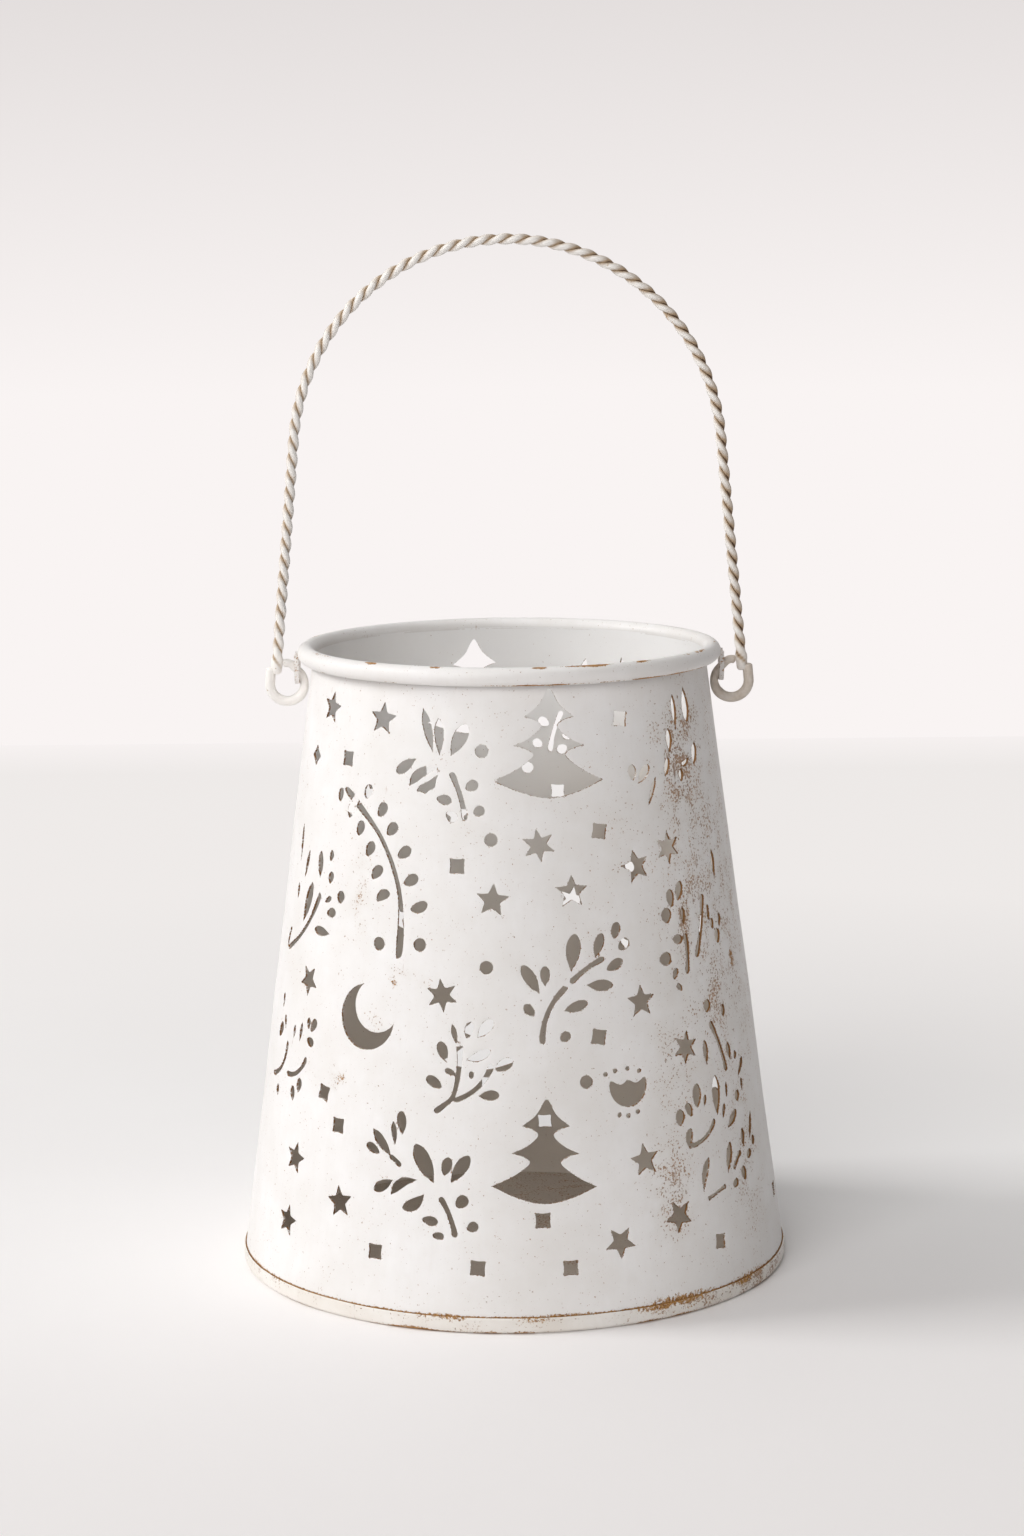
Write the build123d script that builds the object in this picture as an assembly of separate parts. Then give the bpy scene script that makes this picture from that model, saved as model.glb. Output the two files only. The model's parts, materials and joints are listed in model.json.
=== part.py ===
from build123d import *
from math import acos, atan, atan2, cos, degrees, hypot, pi, radians, sin
import os

# Punched tin lantern, in millimetres. The origin is at the centre of the underside, +Z is up, the front is
# -Y and the bail's two ears are on the X axis. An azimuth is in degrees from the front towards +X.

# Tin sheet
SHEET = 0.45
SEAT_GAP = 0.05

# Base pan
FOOT_RADIUS = 60.0
HEM_HEIGHT = 3.4
HEM_CHAMFER = 0.7

# Tapered body with its rolled rim and lapped seam, all in narrow upright flats
BODY_HEIGHT = 136.2
RIM_RADIUS = 45.8
BEAD_RADIUS = 1.95
BEAD_STEPS = 4
FLATS = 60
SEAM_AZIMUTH = 100.0
SEAM_WIDTH = 3.6
SEAM_CLEAR = 0.6

# Ears under the rim bead
EAR_WIDTH = 1.0
EAR_BORE_RADIUS = 2.4
EAR_TUCK = 0.25
EAR_PAST_HOOK = 0.4
EAR_STEPS = 8

# Bail: twisted pair of wires, two ferrules and two eyes
BAIL_RISE = 86.2
BAIL_CROWN_RADIUS = 46.0
BAIL_TURNS = 31
STRAND_RADIUS = 0.54
STRAND_GAP = 0.24
STRAND_SIDES = 4
STRAND_STEPS = 5
FERRULE_RADIUS = 1.3
FERRULE_SIDES = 8
FERRULE_LENGTH = 6.0
FERRULE_ABOVE_EYE = 2.53
FERRULE_SET = 1.4
EYE_RADIUS = 3.75
EYE_DROP = 6.95
EYE_WALL_GAP = 0.3
EYE_WIRE_RADIUS = 0.9
EYE_SIDES = 6
EYE_STEPS = 18
EYE_HOOK_ANGLE = 135.0
EYE_HOOK_RUN = 2.0
EYE_TIP_RADIUS = 1.8
EYE_TIP_TURN = 60.0
HINGE_ABOVE_HOOK = 0.25

# Punches: how far a punch reaches through the wall, and the size of each motif
PUNCH_REACH = 3.0
TREE_HEIGHT = 21.5
STAR_RADIUS = 3.6
STAR_WAIST = 0.45
SQUARE_SIDE = 3.2
DOT_RADIUS = 1.5
MOON_RADIUS = 6.9
MOON_BITE_RADIUS = 5.6
MOON_BITE = (2.4, 2.6)
SUN_RADIUS = 4.4
SUN_TOOTH = (4.1, 1.5)
SUN_GAP = (1.8, 0.3)
SUN_PEAK = 1.3
SUN_SPARK_RADIUS = 0.6
SUN_SPARK_SIDES = 5
SUN_SPARKS = [(-5.1, 2.9), (-2.9, 3.4), (0, 3.6), (2.7, 2.8), (-2.5, -5.8), (-0.5, -6.2), (1.8, -5.6)]
STEM_WIDTH = 1.0
LEAF_PROFILE = [(0.36, 0.88), (0.78, 0.9)]
CURVE_STEPS = 2
STEM_STEPS = 3
ROUND_SIDES = 7
MOON_SIDES = 18

# Tree outline: half width and depth below the tip of each tier's edge and of the notch under it
TREE_TIERS = [(4.9, 5.6, 1.5, 7.3), (6.95, 11.2, 3.1, 12.9), (10.8, 18.0, 0.0, TREE_HEIGHT)]
TREE_SLOPE_BOW = 0.6
TREE_TIER_BOW = 0.35
TREE_FOOT_BOW = -0.6

# Where the single motifs are punched: azimuth, height, then a tree's size and any tilt
TREES = [(10.6, 121.0, 1.05, 1.5), (6.9, 37.4, 1.01, 2.5)]
MOONS = [(-36, 63)]
SUNS = [(26.6, 49.3)]
DOTS = [(-7.5, 119), (-5, 101), (-6, 75), (-22.5, 79), (16.5, 51), (-33.7, 78.4)]
SQUARES = [(-66, 114.5, 45), (-49, 115.5, 0), (31.5, 124.5, 10), (23, 102, 10), (-13.5, 95.5, 0),
           (20, 60, 12), (-47.5, 45.5, 10), (-42, 39.5, 0), (-30, 15, 0), (-7.5, 13.5, 3), (11.5, 13.2, 0),
           (6, 23.2, 0), (48.5, 13, 8), (80, 16, 0)]
FIVE_POINT_STARS = [(-59, 125.3, 8), (-37, 124.6, 4), (-4.6, 88.7, 5), (15, 90, 0), (33, 94, -12),
                    (31.5, 66.2, 0), (-57.5, 67.7, 180), (-56, 30, 10), (-57, 16.3, 8), (-40, 23.8, -10),
                    (29.4, 33.6, -5), (37.2, 20.6, 190), (22.5, 17.4, 180)]
SIX_POINT_STARS = [(7, 99.8, -8), (44, 96.8, 0), (-16.5, 69, -8), (43.6, 55, 10)]

# Sprigs, drawn flat about their own origin. A stem has its start, its end and its bow. A leaf has its place
# across and along, its length, width, tilt from upright and bow.
FERN_STEMS = [((0, 0), (-17.3, 33.8), 6.0)]
FERN_LEAVES = [(-10.2, 33.6, 3.5, 2.3, 20, 0), (-6.2, 30.2, 3.7, 2.5, 30, 0), (-3.5, 26.4, 3.7, 2.5, 42, 0),
               (-0.3, 21.8, 4.0, 2.5, 54, 0), (1.6, 16.2, 4.0, 2.5, 60, 0), (3.6, 11.0, 4.4, 2.4, 66, 0.4),
               (-18.6, 32.0, 3.3, 1.9, 8, 0), (-15.0, 29.2, 3.6, 2.2, 12, 0),
               (-11.9, 25.8, 3.7, 2.3, 18, 0), (-8.9, 21.8, 3.8, 2.4, 28, 0),
               (-6.7, 17.0, 4.0, 2.5, 44, -0.3), (-4.9, 12.1, 4.1, 2.3, 58, -0.6)]
SPRIG_STEMS = [((0, 0), (5.4, 11.6), -1.4), ((6.2, 12.3), (13.8, 16.9), -0.4)]
SPRIG_LEAVES = [(7.0, 18.6, 7.8, 3.1, 8, 0), (12.6, 19.6, 5.4, 2.2, 20, 0), (16.6, 22.3, 3.8, 2.2, 15, 0),
                (18.4, 19.2, 3.3, 2.5, 55, 0), (16.2, 15.2, 4.5, 2.3, 66, 0), (12.8, 11.3, 6.0, 2.4, 95, 0),
                (7.4, 7.3, 5.4, 2.3, 75, 0), (4.9, 1.2, 2.8, 2.2, 50, 0), (-2.4, 7.0, 3.3, 2.1, -40, 0),
                (-2.0, 13.4, 7.0, 2.5, -31, 0), (1.0, 14.0, 4.4, 2.1, 0, 0)]
TWIG_STEMS = [((0, 0), (3.9, 3.2), 0), ((3.6, 2.6), (5.0, 14.6), 0.6), ((4.0, 2.6), (12.0, 10.2), 1.3)]
TWIG_LEAVES = [(3.8, 16.3, 4.4, 1.2, -14, 0), (6.8, 17.3, 3.8, 1.9, 14, 0), (10.2, 17.7, 5.0, 2.3, 40, 0),
               (1.4, 12.7, 4.7, 2.3, -20, 0), (9.0, 12.2, 5.6, 2.0, 66, 0.3), (7.6, 8.0, 2.0, 1.3, 0, 0),
               (-0.3, 6.2, 4.3, 2.3, -58, 0), (3.1, 8.5, 3.0, 1.4, -68, 0), (14.3, 10.2, 4.3, 2.5, 60, 0),
               (11.5, 3.9, 4.5, 2.2, 86, 0)]
BURST_STEMS = [((-0.2, -1.6), (3.3, -9.8), -0.45)]
BURST_LEAVES = [(-3.8, 5.1, 9.0, 3.4, -29, 0), (1.0, 4.8, 4.3, 2.3, 14, 0), (3.9, 4.4, 7.0, 2.7, 34, 0),
                (-13.2, -0.4, 5.2, 2.3, -121, 0), (-8.3, -0.3, 7.0, 2.0, -122, 1.1),
                (-6.2, -3.0, 6.0, 2.5, -124, -0.7), (-2.3, -6.7, 3.9, 2.1, 98, 0),
                (-0.4, -9.7, 3.0, 1.8, 95, 0), (4.4, -2.4, 3.4, 2.8, 45, 0), (6.8, -7.5, 2.8, 2.4, 60, 0)]
SPRAY_STEMS = [((-11.6, 5.9), (-9.0, 4.0), -0.1)]
SPRAY_LEAVES = [(-9.1, 13.1, 5.0, 2.2, -7, 0), (-10.8, 10.7, 5.0, 1.3, -8, 0),
                (-13.6, 8.4, 7.2, 2.1, -41, 0), (-15.8, 7.0, 4.0, 2.0, -62, 0)]
POSY_STEMS = [((1.5, -0.7), (4.7, -10.5), -0.45)]
POSY_LEAVES = [(-3.9, 7.7, 9.2, 1.9, -16, 0), (-1.4, 6.5, 7.8, 2.0, -4, 0), (2.9, 6.0, 7.4, 3.0, 26, 0),
               (-8.8, 0.1, 5.6, 2.3, -126, 0), (-4.7, -2.0, 7.2, 2.1, -122, 1.1),
               (-3.7, -3.1, 6.0, 2.4, -128, -0.8), (0.1, -6.4, 3.6, 2.2, 98, 0),
               (1.8, -9.8, 3.0, 2.4, 125, 0), (5.9, -3.4, 3.1, 2.5, 60, 0), (7.5, -8.6, 2.8, 2.4, 60, 0)]
BUSH_STEMS = [((0, 0), (14.1, 14.1), 2.2), ((-0.4, 0.2), (0.9, 4.6), -0.3)]
BUSH_LEAVES = [(8.8, 11.4, 9.5, 2.8, 18, 0), (16.0, 6.3, 6.0, 2.0, -88, 0), (18.7, 10.7, 3.4, 2.2, 80, 0),
               (21.3, 14.4, 3.0, 2.5, 10, 0), (17.2, 13.3, 2.8, 1.3, 60, 0), (17.2, 18.0, 2.9, 2.0, 15, 0),
               (12.7, 20.2, 6.0, 2.1, -4, 0), (16.6, 22.6, 2.8, 1.7, 10, 0), (6.5, 19.3, 6.5, 1.3, 14, 0),
               (2.2, 23.4, 8.2, 1.2, -2, 0), (2.8, 13.0, 3.8, 1.3, 0, 0)]
TUFT_STEMS = [((-7.5, -1.4), (-0.2, 7.2), 2.2), ((0.9, 0.5), (9.0, 5.4), 1.5)]
TUFT_LEAVES = [(-5.3, 15.3, 3.6, 1.3, 0, 0), (-2.8, 11.1, 3.4, 1.2, -15, 0), (-5.1, 8.8, 4.2, 2.4, 30, 0),
               (2.6, 10.1, 3.2, 1.1, 5, 0), (5.6, 10.4, 4.3, 1.1, 8, 0), (8.5, 12.9, 2.9, 1.5, 0, 0),
               (10.4, 12.7, 3.7, 2.0, 32, 0), (9.7, 9.1, 3.0, 2.2, 110, 0), (-3.3, -4.0, 3.0, 1.8, -15, 0),
               (4.7, -3.0, 3.5, 2.0, -15, 0), (7.1, -0.8, 3.4, 2.2, 10, 0)]
TULIP_STEMS = [((13.4, 6.8), (16.2, 7.6), 0.3)]
TULIP_LEAVES = [(16.7, 19.0, 7.5, 2.7, 180, 0), (12.2, 18.2, 7.0, 1.5, 0, 0), (9.7, 12.4, 5.0, 1.8, 0, 0),
                (8.3, 6.9, 4.4, 1.6, 20, 0), (-1.5, 6.8, 3.7, 2.2, -5, 0), (1.4, 6.2, 5.0, 2.2, 42, 0),
                (3.4, 2.4, 6.4, 1.0, 25, 0), (12.9, 4.6, 2.9, 1.6, 0, 0), (18.9, 8.3, 5.0, 2.4, 12, 0)]
SPIRE_STEMS = [((0, 0), (0.5, 8.5), 0.5), ((3.6, 3.0), (8.0, 15.6), 0.5)]
SPIRE_LEAVES = [(-2.9, 16.4, 4.2, 2.3, -5, 0), (-0.1, 17.6, 4.4, 2.2, 18, 0), (-4.5, 12.9, 3.4, 3.1, 0, 0),
                (-1.9, 7.6, 3.2, 2.2, 100, 0), (0.4, 12.4, 3.6, 1.2, 0, 0), (-6.0, 4.0, 3.6, 3.0, 90, 0),
                (-3.5, 0.6, 2.9, 1.6, 30, 0), (-2.7, -2.4, 2.5, 1.4, -40, 0), (9.5, 11.6, 3.7, 1.2, 0, 0),
                (10.8, 8.9, 2.6, 1.6, -10, 0), (12.7, 5.9, 3.4, 2.6, 0, 0), (14.4, 9.2, 3.0, 1.4, 10, 0),
                (14.1, 21.2, 6.2, 1.6, 0, 0)]
PLANT_STEMS = [((-1.3, 0), (7.3, 4.0), 1.2), ((8.9, 24.6), (13.4, 13.2), -0.5)]
PLANT_LEAVES = [(-3.4, 6.4, 3.7, 2.6, 5, 0), (-0.6, 7.6, 3.5, 1.9, -20, 0), (2.1, 10.1, 5.4, 2.7, 4, 0),
                (4.5, 8.8, 2.6, 1.1, 12, 0), (8.6, 9.0, 8.6, 2.8, 4, 0), (-1.1, 1.7, 4.4, 2.1, 12, -0.4),
                (10.9, 5.2, 3.5, 1.1, 20, 0), (12.7, 9.3, 3.4, 1.0, 4, 0), (17.3, 6.9, 2.6, 2.4, 0, 0),
                (20.1, 9.0, 2.8, 1.3, 0, 0), (14.2, 2.7, 5.4, 2.1, 55, 0), (15.2, 17.1, 4.0, 1.9, -12, 0),
                (18.0, 15.6, 2.3, 1.7, 0, 0), (20.3, 12.7, 5.0, 1.5, 42, 0), (6.3, 18.6, 5.4, 1.6, 0, 0),
                (8.3, 28.1, 2.9, 2.6, 20, 0), (14.4, 26.0, 3.0, 1.7, 0, 0)]
REED_STEMS = [((-1.3, 0.1), (5.0, 1.6), 0.1), ((8.8, 4.2), (12.7, 7.3), -0.2)]
REED_LEAVES = [(-1.0, 5.5, 7.4, 1.9, 22, -0.5), (7.5, 7.2, 6.7, 2.2, 18, 0), (14.4, 9.9, 4.0, 1.7, 5, 0),
               (19.0, 11.3, 6.2, 1.4, 22, 0), (19.8, 7.9, 2.4, 2.2, 0, 0), (16.6, 5.7, 3.0, 2.0, 70, 0),
               (13.1, 2.4, 3.4, 2.4, -15, 0), (9.0, 1.2, 2.7, 2.0, 75, 0)]
SPRIG_KINDS = {"fern": (FERN_STEMS, FERN_LEAVES), "sprig": (SPRIG_STEMS, SPRIG_LEAVES),
               "twig": (TWIG_STEMS, TWIG_LEAVES), "burst": (BURST_STEMS, BURST_LEAVES),
               "spray": (SPRAY_STEMS, SPRAY_LEAVES), "posy": (POSY_STEMS, POSY_LEAVES),
               "bush": (BUSH_STEMS, BUSH_LEAVES), "tuft": (TUFT_STEMS, TUFT_LEAVES),
               "tulip": (TULIP_STEMS, TULIP_LEAVES), "spire": (SPIRE_STEMS, SPIRE_LEAVES),
               "plant": (PLANT_STEMS, PLANT_LEAVES), "reed": (REED_STEMS, REED_LEAVES)}

# Where the sprigs are punched: kind, azimuth, height
SPRIGS_FRONT = [("fern", -27.5, 76), ("sprig", 6.6, 59.3), ("twig", -17.5, 45), ("burst", -15.5, 29.3),
                ("spray", -15.5, 29.3), ("posy", -17.5, 115.3), ("bush", -72.5, 72.3), ("tuft", -65, 46),
                ("tulip", 36, 106.5), ("spire", 46.5, 70), ("plant", 43.4, 34.4), ("reed", 47.2, 22.4)]
SPRIGS_BACK = [("posy", -17.5, 115.3)]
HALF_TURN = 180

# Places worked out from the sizes above
FOOT_OUTER = FOOT_RADIUS - SHEET - SEAT_GAP
BEAD_CENTRE = RIM_RADIUS - BEAD_RADIUS
BEAD_HEIGHT = BODY_HEIGHT - BEAD_RADIUS
WALL_TOP_OUTER = BEAD_CENTRE - BEAD_RADIUS + SHEET
TAPER = (FOOT_OUTER - WALL_TOP_OUTER) / (BEAD_HEIGHT - HEM_HEIGHT)
WALL_LEAN = degrees(atan(TAPER))


def wall_radius(height):
    """Outer radius of the tapered wall at a height."""
    return FOOT_OUTER - TAPER * (height - HEM_HEIGHT)


def punch_plane(azimuth, height):
    """Plane that touches the wall at a place, with its X axis level and its Z axis pointing out."""
    radius = wall_radius(height)
    turn = radians(azimuth)
    lean = radians(WALL_LEAN)
    place = (radius * sin(turn), -radius * cos(turn), height)
    outward = (sin(turn) * cos(lean), -cos(turn) * cos(lean), sin(lean))
    return Plane(origin=place, x_dir=(cos(turn), sin(turn), 0), z_dir=outward)


def punch(azimuth, height, outline):
    """Prism that pierces the wall at a place with a flat outline."""
    return extrude(punch_plane(azimuth, height) * outline, amount=PUNCH_REACH / 2, both=True)


def bowed(start, end, bow, steps):
    """Points of a shallow curve that bends to the right of its way by a bow, without the end point."""
    way = Vector(*end) - Vector(*start)
    across = way.normalized().rotate(Axis.Z, -90) * bow
    shares = [step / steps for step in range(steps)]
    return [Vector(*start) + way * share + across * (4 * share * (1 - share)) for share in shares]


def tree(size, tilt):
    """Three tiers with dished slopes and a rounded foot, at a size and turned by a tilt."""
    half = []
    start = (0, 0)
    for edge, edge_depth, notch, notch_depth in TREE_TIERS:
        corner = (edge, -edge_depth)
        half += bowed(start, corner, TREE_SLOPE_BOW, CURVE_STEPS)
        start = (notch, -notch_depth)
        half += bowed(corner, start, TREE_FOOT_BOW if notch == 0 else TREE_TIER_BOW, CURVE_STEPS)
    foot = Vector(*start)
    other = [Vector(-point.X, point.Y) for point in half[:0:-1]]
    outline = Pos(0, TREE_HEIGHT / 2) * make_face(Polyline(half + [foot] + other, close=True))
    return Rot(0, 0, -tilt) * scale(outline, by=size)


def star(points, tilt):
    """Straight-sided star, turned by a tilt."""
    corners = []
    for step in range(2 * points):
        radius = STAR_RADIUS if step % 2 == 0 else STAR_RADIUS * STAR_WAIST
        turn = radians(tilt) + pi * step / points
        corners.append((radius * sin(turn), radius * cos(turn)))
    return make_face(Polyline(corners, close=True))


def square(tilt):
    """Square hole, turned by a tilt."""
    half = SQUARE_SIDE / 2
    corners = [(half, half), (-half, half), (-half, -half), (half, -half)]
    return Rot(0, 0, -tilt) * make_face(Polyline(corners, close=True))


def moon():
    """Crescent that opens to the upper right."""
    bite = Pos(*MOON_BITE) * RegularPolygon(MOON_BITE_RADIUS, MOON_SIDES)
    return RegularPolygon(MOON_RADIUS, MOON_SIDES) - bite


def sun():
    """Bowl with a jagged top."""
    jags = [SUN_TOOTH, SUN_GAP, (0, SUN_PEAK), (-SUN_GAP[0], SUN_GAP[1]), (-SUN_TOOTH[0], SUN_TOOTH[1])]
    turns = [pi + pi * step / ROUND_SIDES for step in range(ROUND_SIDES + 1)]
    bowl = [(SUN_RADIUS * cos(turn), SUN_RADIUS * sin(turn)) for turn in turns]
    return make_face(Polyline(jags + bowl, close=True))


def leaf(length, width, tilt, bow):
    """Drop-shaped leaf, pointed at its tail, fuller towards its tip and bent to one side by its bow."""
    right = [(0, 0)] + LEAF_PROFILE + [(1, 0)]
    left = [(share, -fullness) for share, fullness in reversed(LEAF_PROFILE)]
    outline = []
    for share, fullness in right + left:
        bend = 4 * bow * share * (1 - share)
        outline.append((fullness * width / 2 + bend, length * (share - 0.5)))
    return Rot(0, 0, -tilt) * make_face(Polyline(outline, close=True))


def stem(start, end, bow):
    """Narrow curved slot from one flat point to another, given about its own middle."""
    run = (Vector(*end) - Vector(*start)) / 2
    across = run.normalized().rotate(Axis.Z, -90) * STEM_WIDTH / 2
    right = bowed(-run + across, run + across, bow, STEM_STEPS) + [run + across]
    left = bowed(run - across, -run - across, -bow, STEM_STEPS) + [-run - across]
    return make_face(Polyline(right + left, close=True))


def on_wall(azimuth, height, place):
    """Azimuth and height of a point of a flat drawing whose origin lies at a place on the wall."""
    level = height + place[1] * cos(radians(WALL_LEAN))
    return azimuth + degrees(place[0] / wall_radius(level)), level


def sprig_punches(kind, azimuth, height):
    """Punches of one sprig, each square to the wall where it lies."""
    stems, leaves = SPRIG_KINDS[kind]
    punches = []
    for start, end, bow in stems:
        middle = ((start[0] + end[0]) / 2, (start[1] + end[1]) / 2)
        punches.append(punch(*on_wall(azimuth, height, middle), stem(start, end, bow)))
    for across, along, length, width, tilt, bow in leaves:
        punches.append(punch(*on_wall(azimuth, height, (across, along)), leaf(length, width, tilt, bow)))
    return punches


def sun_punches():
    """Punches of each sun and of the sparks round it."""
    punches = []
    spark = RegularPolygon(SUN_SPARK_RADIUS, SUN_SPARK_SIDES)
    for azimuth, height in SUNS:
        punches.append(punch(azimuth, height, sun()))
        punches += [punch(*on_wall(azimuth, height, place), spark) for place in SUN_SPARKS]
    return punches


def half_pattern(turn, sprigs):
    """Every punch of one half of the wall."""
    dot = RegularPolygon(DOT_RADIUS, ROUND_SIDES)
    punches = [punch(azimuth + turn, height, tree(size, tilt)) for azimuth, height, size, tilt in TREES]
    punches += [punch(azimuth + turn, height, moon()) for azimuth, height in MOONS]
    punches += [punch(azimuth + turn, height, dot) for azimuth, height in DOTS]
    punches += [punch(azimuth + turn, height, square(tilt)) for azimuth, height, tilt in SQUARES]
    for points, stars in ((5, FIVE_POINT_STARS), (6, SIX_POINT_STARS)):
        punches += [punch(azimuth + turn, height, star(points, tilt)) for azimuth, height, tilt in stars]
    for kind, azimuth, height in sprigs:
        punches += sprig_punches(kind, azimuth + turn, height)
    return punches


def flat_sided(profile):
    """Solid whose upright flats follow a profile of radius and height, with one flat square to the front."""
    turns = [radians(360 * (flat + 0.5) / FLATS) for flat in range(FLATS)]
    rings = []
    for radius, height in profile:
        rings.append([Vector(radius * sin(turn), -radius * cos(turn), height) for turn in turns])
    faces = [Face(Wire.make_polygon(ring)) for ring in (rings[0], rings[-1])]
    for lower, upper in zip(rings, rings[1:]):
        for flat in range(FLATS):
            corners = [lower[flat - 1], lower[flat], upper[flat], upper[flat - 1]]
            faces.append(Face(Wire.make_polygon(corners)))
    return Solid(Shell(faces))


def bead_profile(radius, first, last):
    """Profile points on the rim bead from one angle to another, in even steps."""
    turns = [radians(first + (last - first) * step / BEAD_STEPS) for step in range(BEAD_STEPS + 1)]
    return [(BEAD_CENTRE + radius * cos(turn), BEAD_HEIGHT + radius * sin(turn)) for turn in turns]


def rim_ring(radius):
    """Whole ring along the rim bead, a little larger than the bead if its radius is."""
    outer = flat_sided(bead_profile(radius, -90, 90))
    inner = flat_sided(bead_profile(radius, 270, 90))
    return outer - inner


def punched_body():
    """Tapered sheet with an upright foot, a rolled bead at the rim, a lapped seam and the punched pattern."""
    inner_foot = FOOT_OUTER - SHEET
    inner_top = WALL_TOP_OUTER - SHEET
    outer = flat_sided([(FOOT_OUTER, SHEET), (FOOT_OUTER, HEM_HEIGHT), (WALL_TOP_OUTER, BEAD_HEIGHT)])
    inner = flat_sided([(inner_foot, SHEET), (inner_foot, HEM_HEIGHT), (inner_top, BEAD_HEIGHT)])
    low = HEM_HEIGHT + SEAM_CLEAR
    high = BEAD_HEIGHT - BEAD_RADIUS + SHEET
    length = (high - low) / cos(radians(WALL_LEAN))
    place = punch_plane(SEAM_AZIMUTH, (low + high) / 2)
    strip = place * Rectangle(SEAM_WIDTH, length)
    seam = extrude(strip, SHEET) + extrude(strip, -SHEET / 2)
    body = (outer - inner) + rim_ring(BEAD_RADIUS) + seam
    punches = half_pattern(0, SPRIGS_FRONT) + sun_punches() + half_pattern(HALF_TURN, SPRIGS_BACK)
    return body.cut(*punches)


def base_pan():
    """Flat disc with its edge turned up round the foot of the body."""
    bore = FOOT_RADIUS - SHEET
    disc = flat_sided([(FOOT_RADIUS - HEM_CHAMFER, 0), (FOOT_RADIUS, HEM_CHAMFER), (FOOT_RADIUS, HEM_HEIGHT)])
    return disc - flat_sided([(bore, SHEET), (bore, HEM_HEIGHT)])


# Bail geometry in its own XZ plane, on the +X side: the leg runs from the ferrule's foot to touch the crown
EYE_HEIGHT = BEAD_HEIGHT - EYE_DROP
EYE_CENTRE = wall_radius(EYE_HEIGHT) + EYE_WALL_GAP + EYE_WIRE_RADIUS + EYE_RADIUS
HOOK_PLACE = (EYE_CENTRE + EYE_RADIUS * cos(radians(EYE_HOOK_ANGLE)),
              EYE_HEIGHT + EYE_RADIUS * sin(radians(EYE_HOOK_ANGLE)))
HINGE_HEIGHT = HOOK_PLACE[1] + HINGE_ABOVE_HOOK
EAR_PLACE = HOOK_PLACE[0] + EAR_PAST_HOOK
EAR_TOP = BEAD_HEIGHT - EAR_TUCK - HINGE_HEIGHT
BAIL_CROWN_HEIGHT = BODY_HEIGHT + BAIL_RISE - BAIL_CROWN_RADIUS
LEG_FOOT = (EYE_CENTRE + EYE_RADIUS - FERRULE_SET, EYE_HEIGHT + FERRULE_ABOVE_EYE)
FOOT_DROP = LEG_FOOT[1] - BAIL_CROWN_HEIGHT
BAIL_SPLAY = atan2(FOOT_DROP, LEG_FOOT[0]) + acos(BAIL_CROWN_RADIUS / hypot(FOOT_DROP, LEG_FOOT[0]))
LEG_TOP = (BAIL_CROWN_RADIUS * cos(BAIL_SPLAY), BAIL_CROWN_HEIGHT + BAIL_CROWN_RADIUS * sin(BAIL_SPLAY))
LEG_UP = (-sin(BAIL_SPLAY), cos(BAIL_SPLAY))
FERRULE_TOP = (LEG_FOOT[0] + FERRULE_LENGTH * LEG_UP[0], LEG_FOOT[1] + FERRULE_LENGTH * LEG_UP[1])
LEG_LENGTH = (LEG_TOP[1] - FERRULE_TOP[1]) / LEG_UP[1]
CROWN_LENGTH = BAIL_CROWN_RADIUS * (pi - 2 * BAIL_SPLAY)
BAIL_LENGTH = 2 * LEG_LENGTH + CROWN_LENGTH


def bail_frame(travel):
    """Point of the bail's middle line after a travel from the +X ferrule, with its outward direction."""
    if travel > BAIL_LENGTH / 2:
        point, outward = bail_frame(BAIL_LENGTH - travel)
        return Vector(-point.X, 0, point.Z), Vector(-outward.X, 0, outward.Z)
    turn = BAIL_SPLAY + max(travel - LEG_LENGTH, 0) / BAIL_CROWN_RADIUS
    outward = Vector(cos(turn), 0, sin(turn))
    down = Vector(-LEG_UP[0], 0, -LEG_UP[1]) * max(LEG_LENGTH - travel, 0)
    return Vector(0, 0, BAIL_CROWN_HEIGHT) + outward * BAIL_CROWN_RADIUS + down, outward


def bail_strand(phase):
    """One wire of the twisted pair, from the top of one ferrule to the top of the other."""
    lay = STRAND_RADIUS + STRAND_GAP / 2
    side = Vector(0, 1, 0)
    sections = []
    count = BAIL_TURNS * STRAND_STEPS
    for step in range(count + 1):
        point, outward = bail_frame(BAIL_LENGTH * step / count)
        turn = radians(phase) - 2 * pi * step / STRAND_STEPS
        middle = point + outward * lay * cos(turn) + side * lay * sin(turn)
        frame = Plane(origin=middle, x_dir=outward, z_dir=outward.cross(side))
        sections.append(frame * RegularPolygon(STRAND_RADIUS, STRAND_SIDES))
    return loft(sections, ruled=True)


def ferrule():
    """Crimped sleeve on the +X leg that the wires and the eye run into."""
    foot = (LEG_FOOT[0], 0, LEG_FOOT[1])
    place = Plane(origin=foot, x_dir=(0, 1, 0), z_dir=(LEG_UP[0], 0, LEG_UP[1]))
    return extrude(place * RegularPolygon(FERRULE_RADIUS, FERRULE_SIDES), FERRULE_LENGTH)


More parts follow.
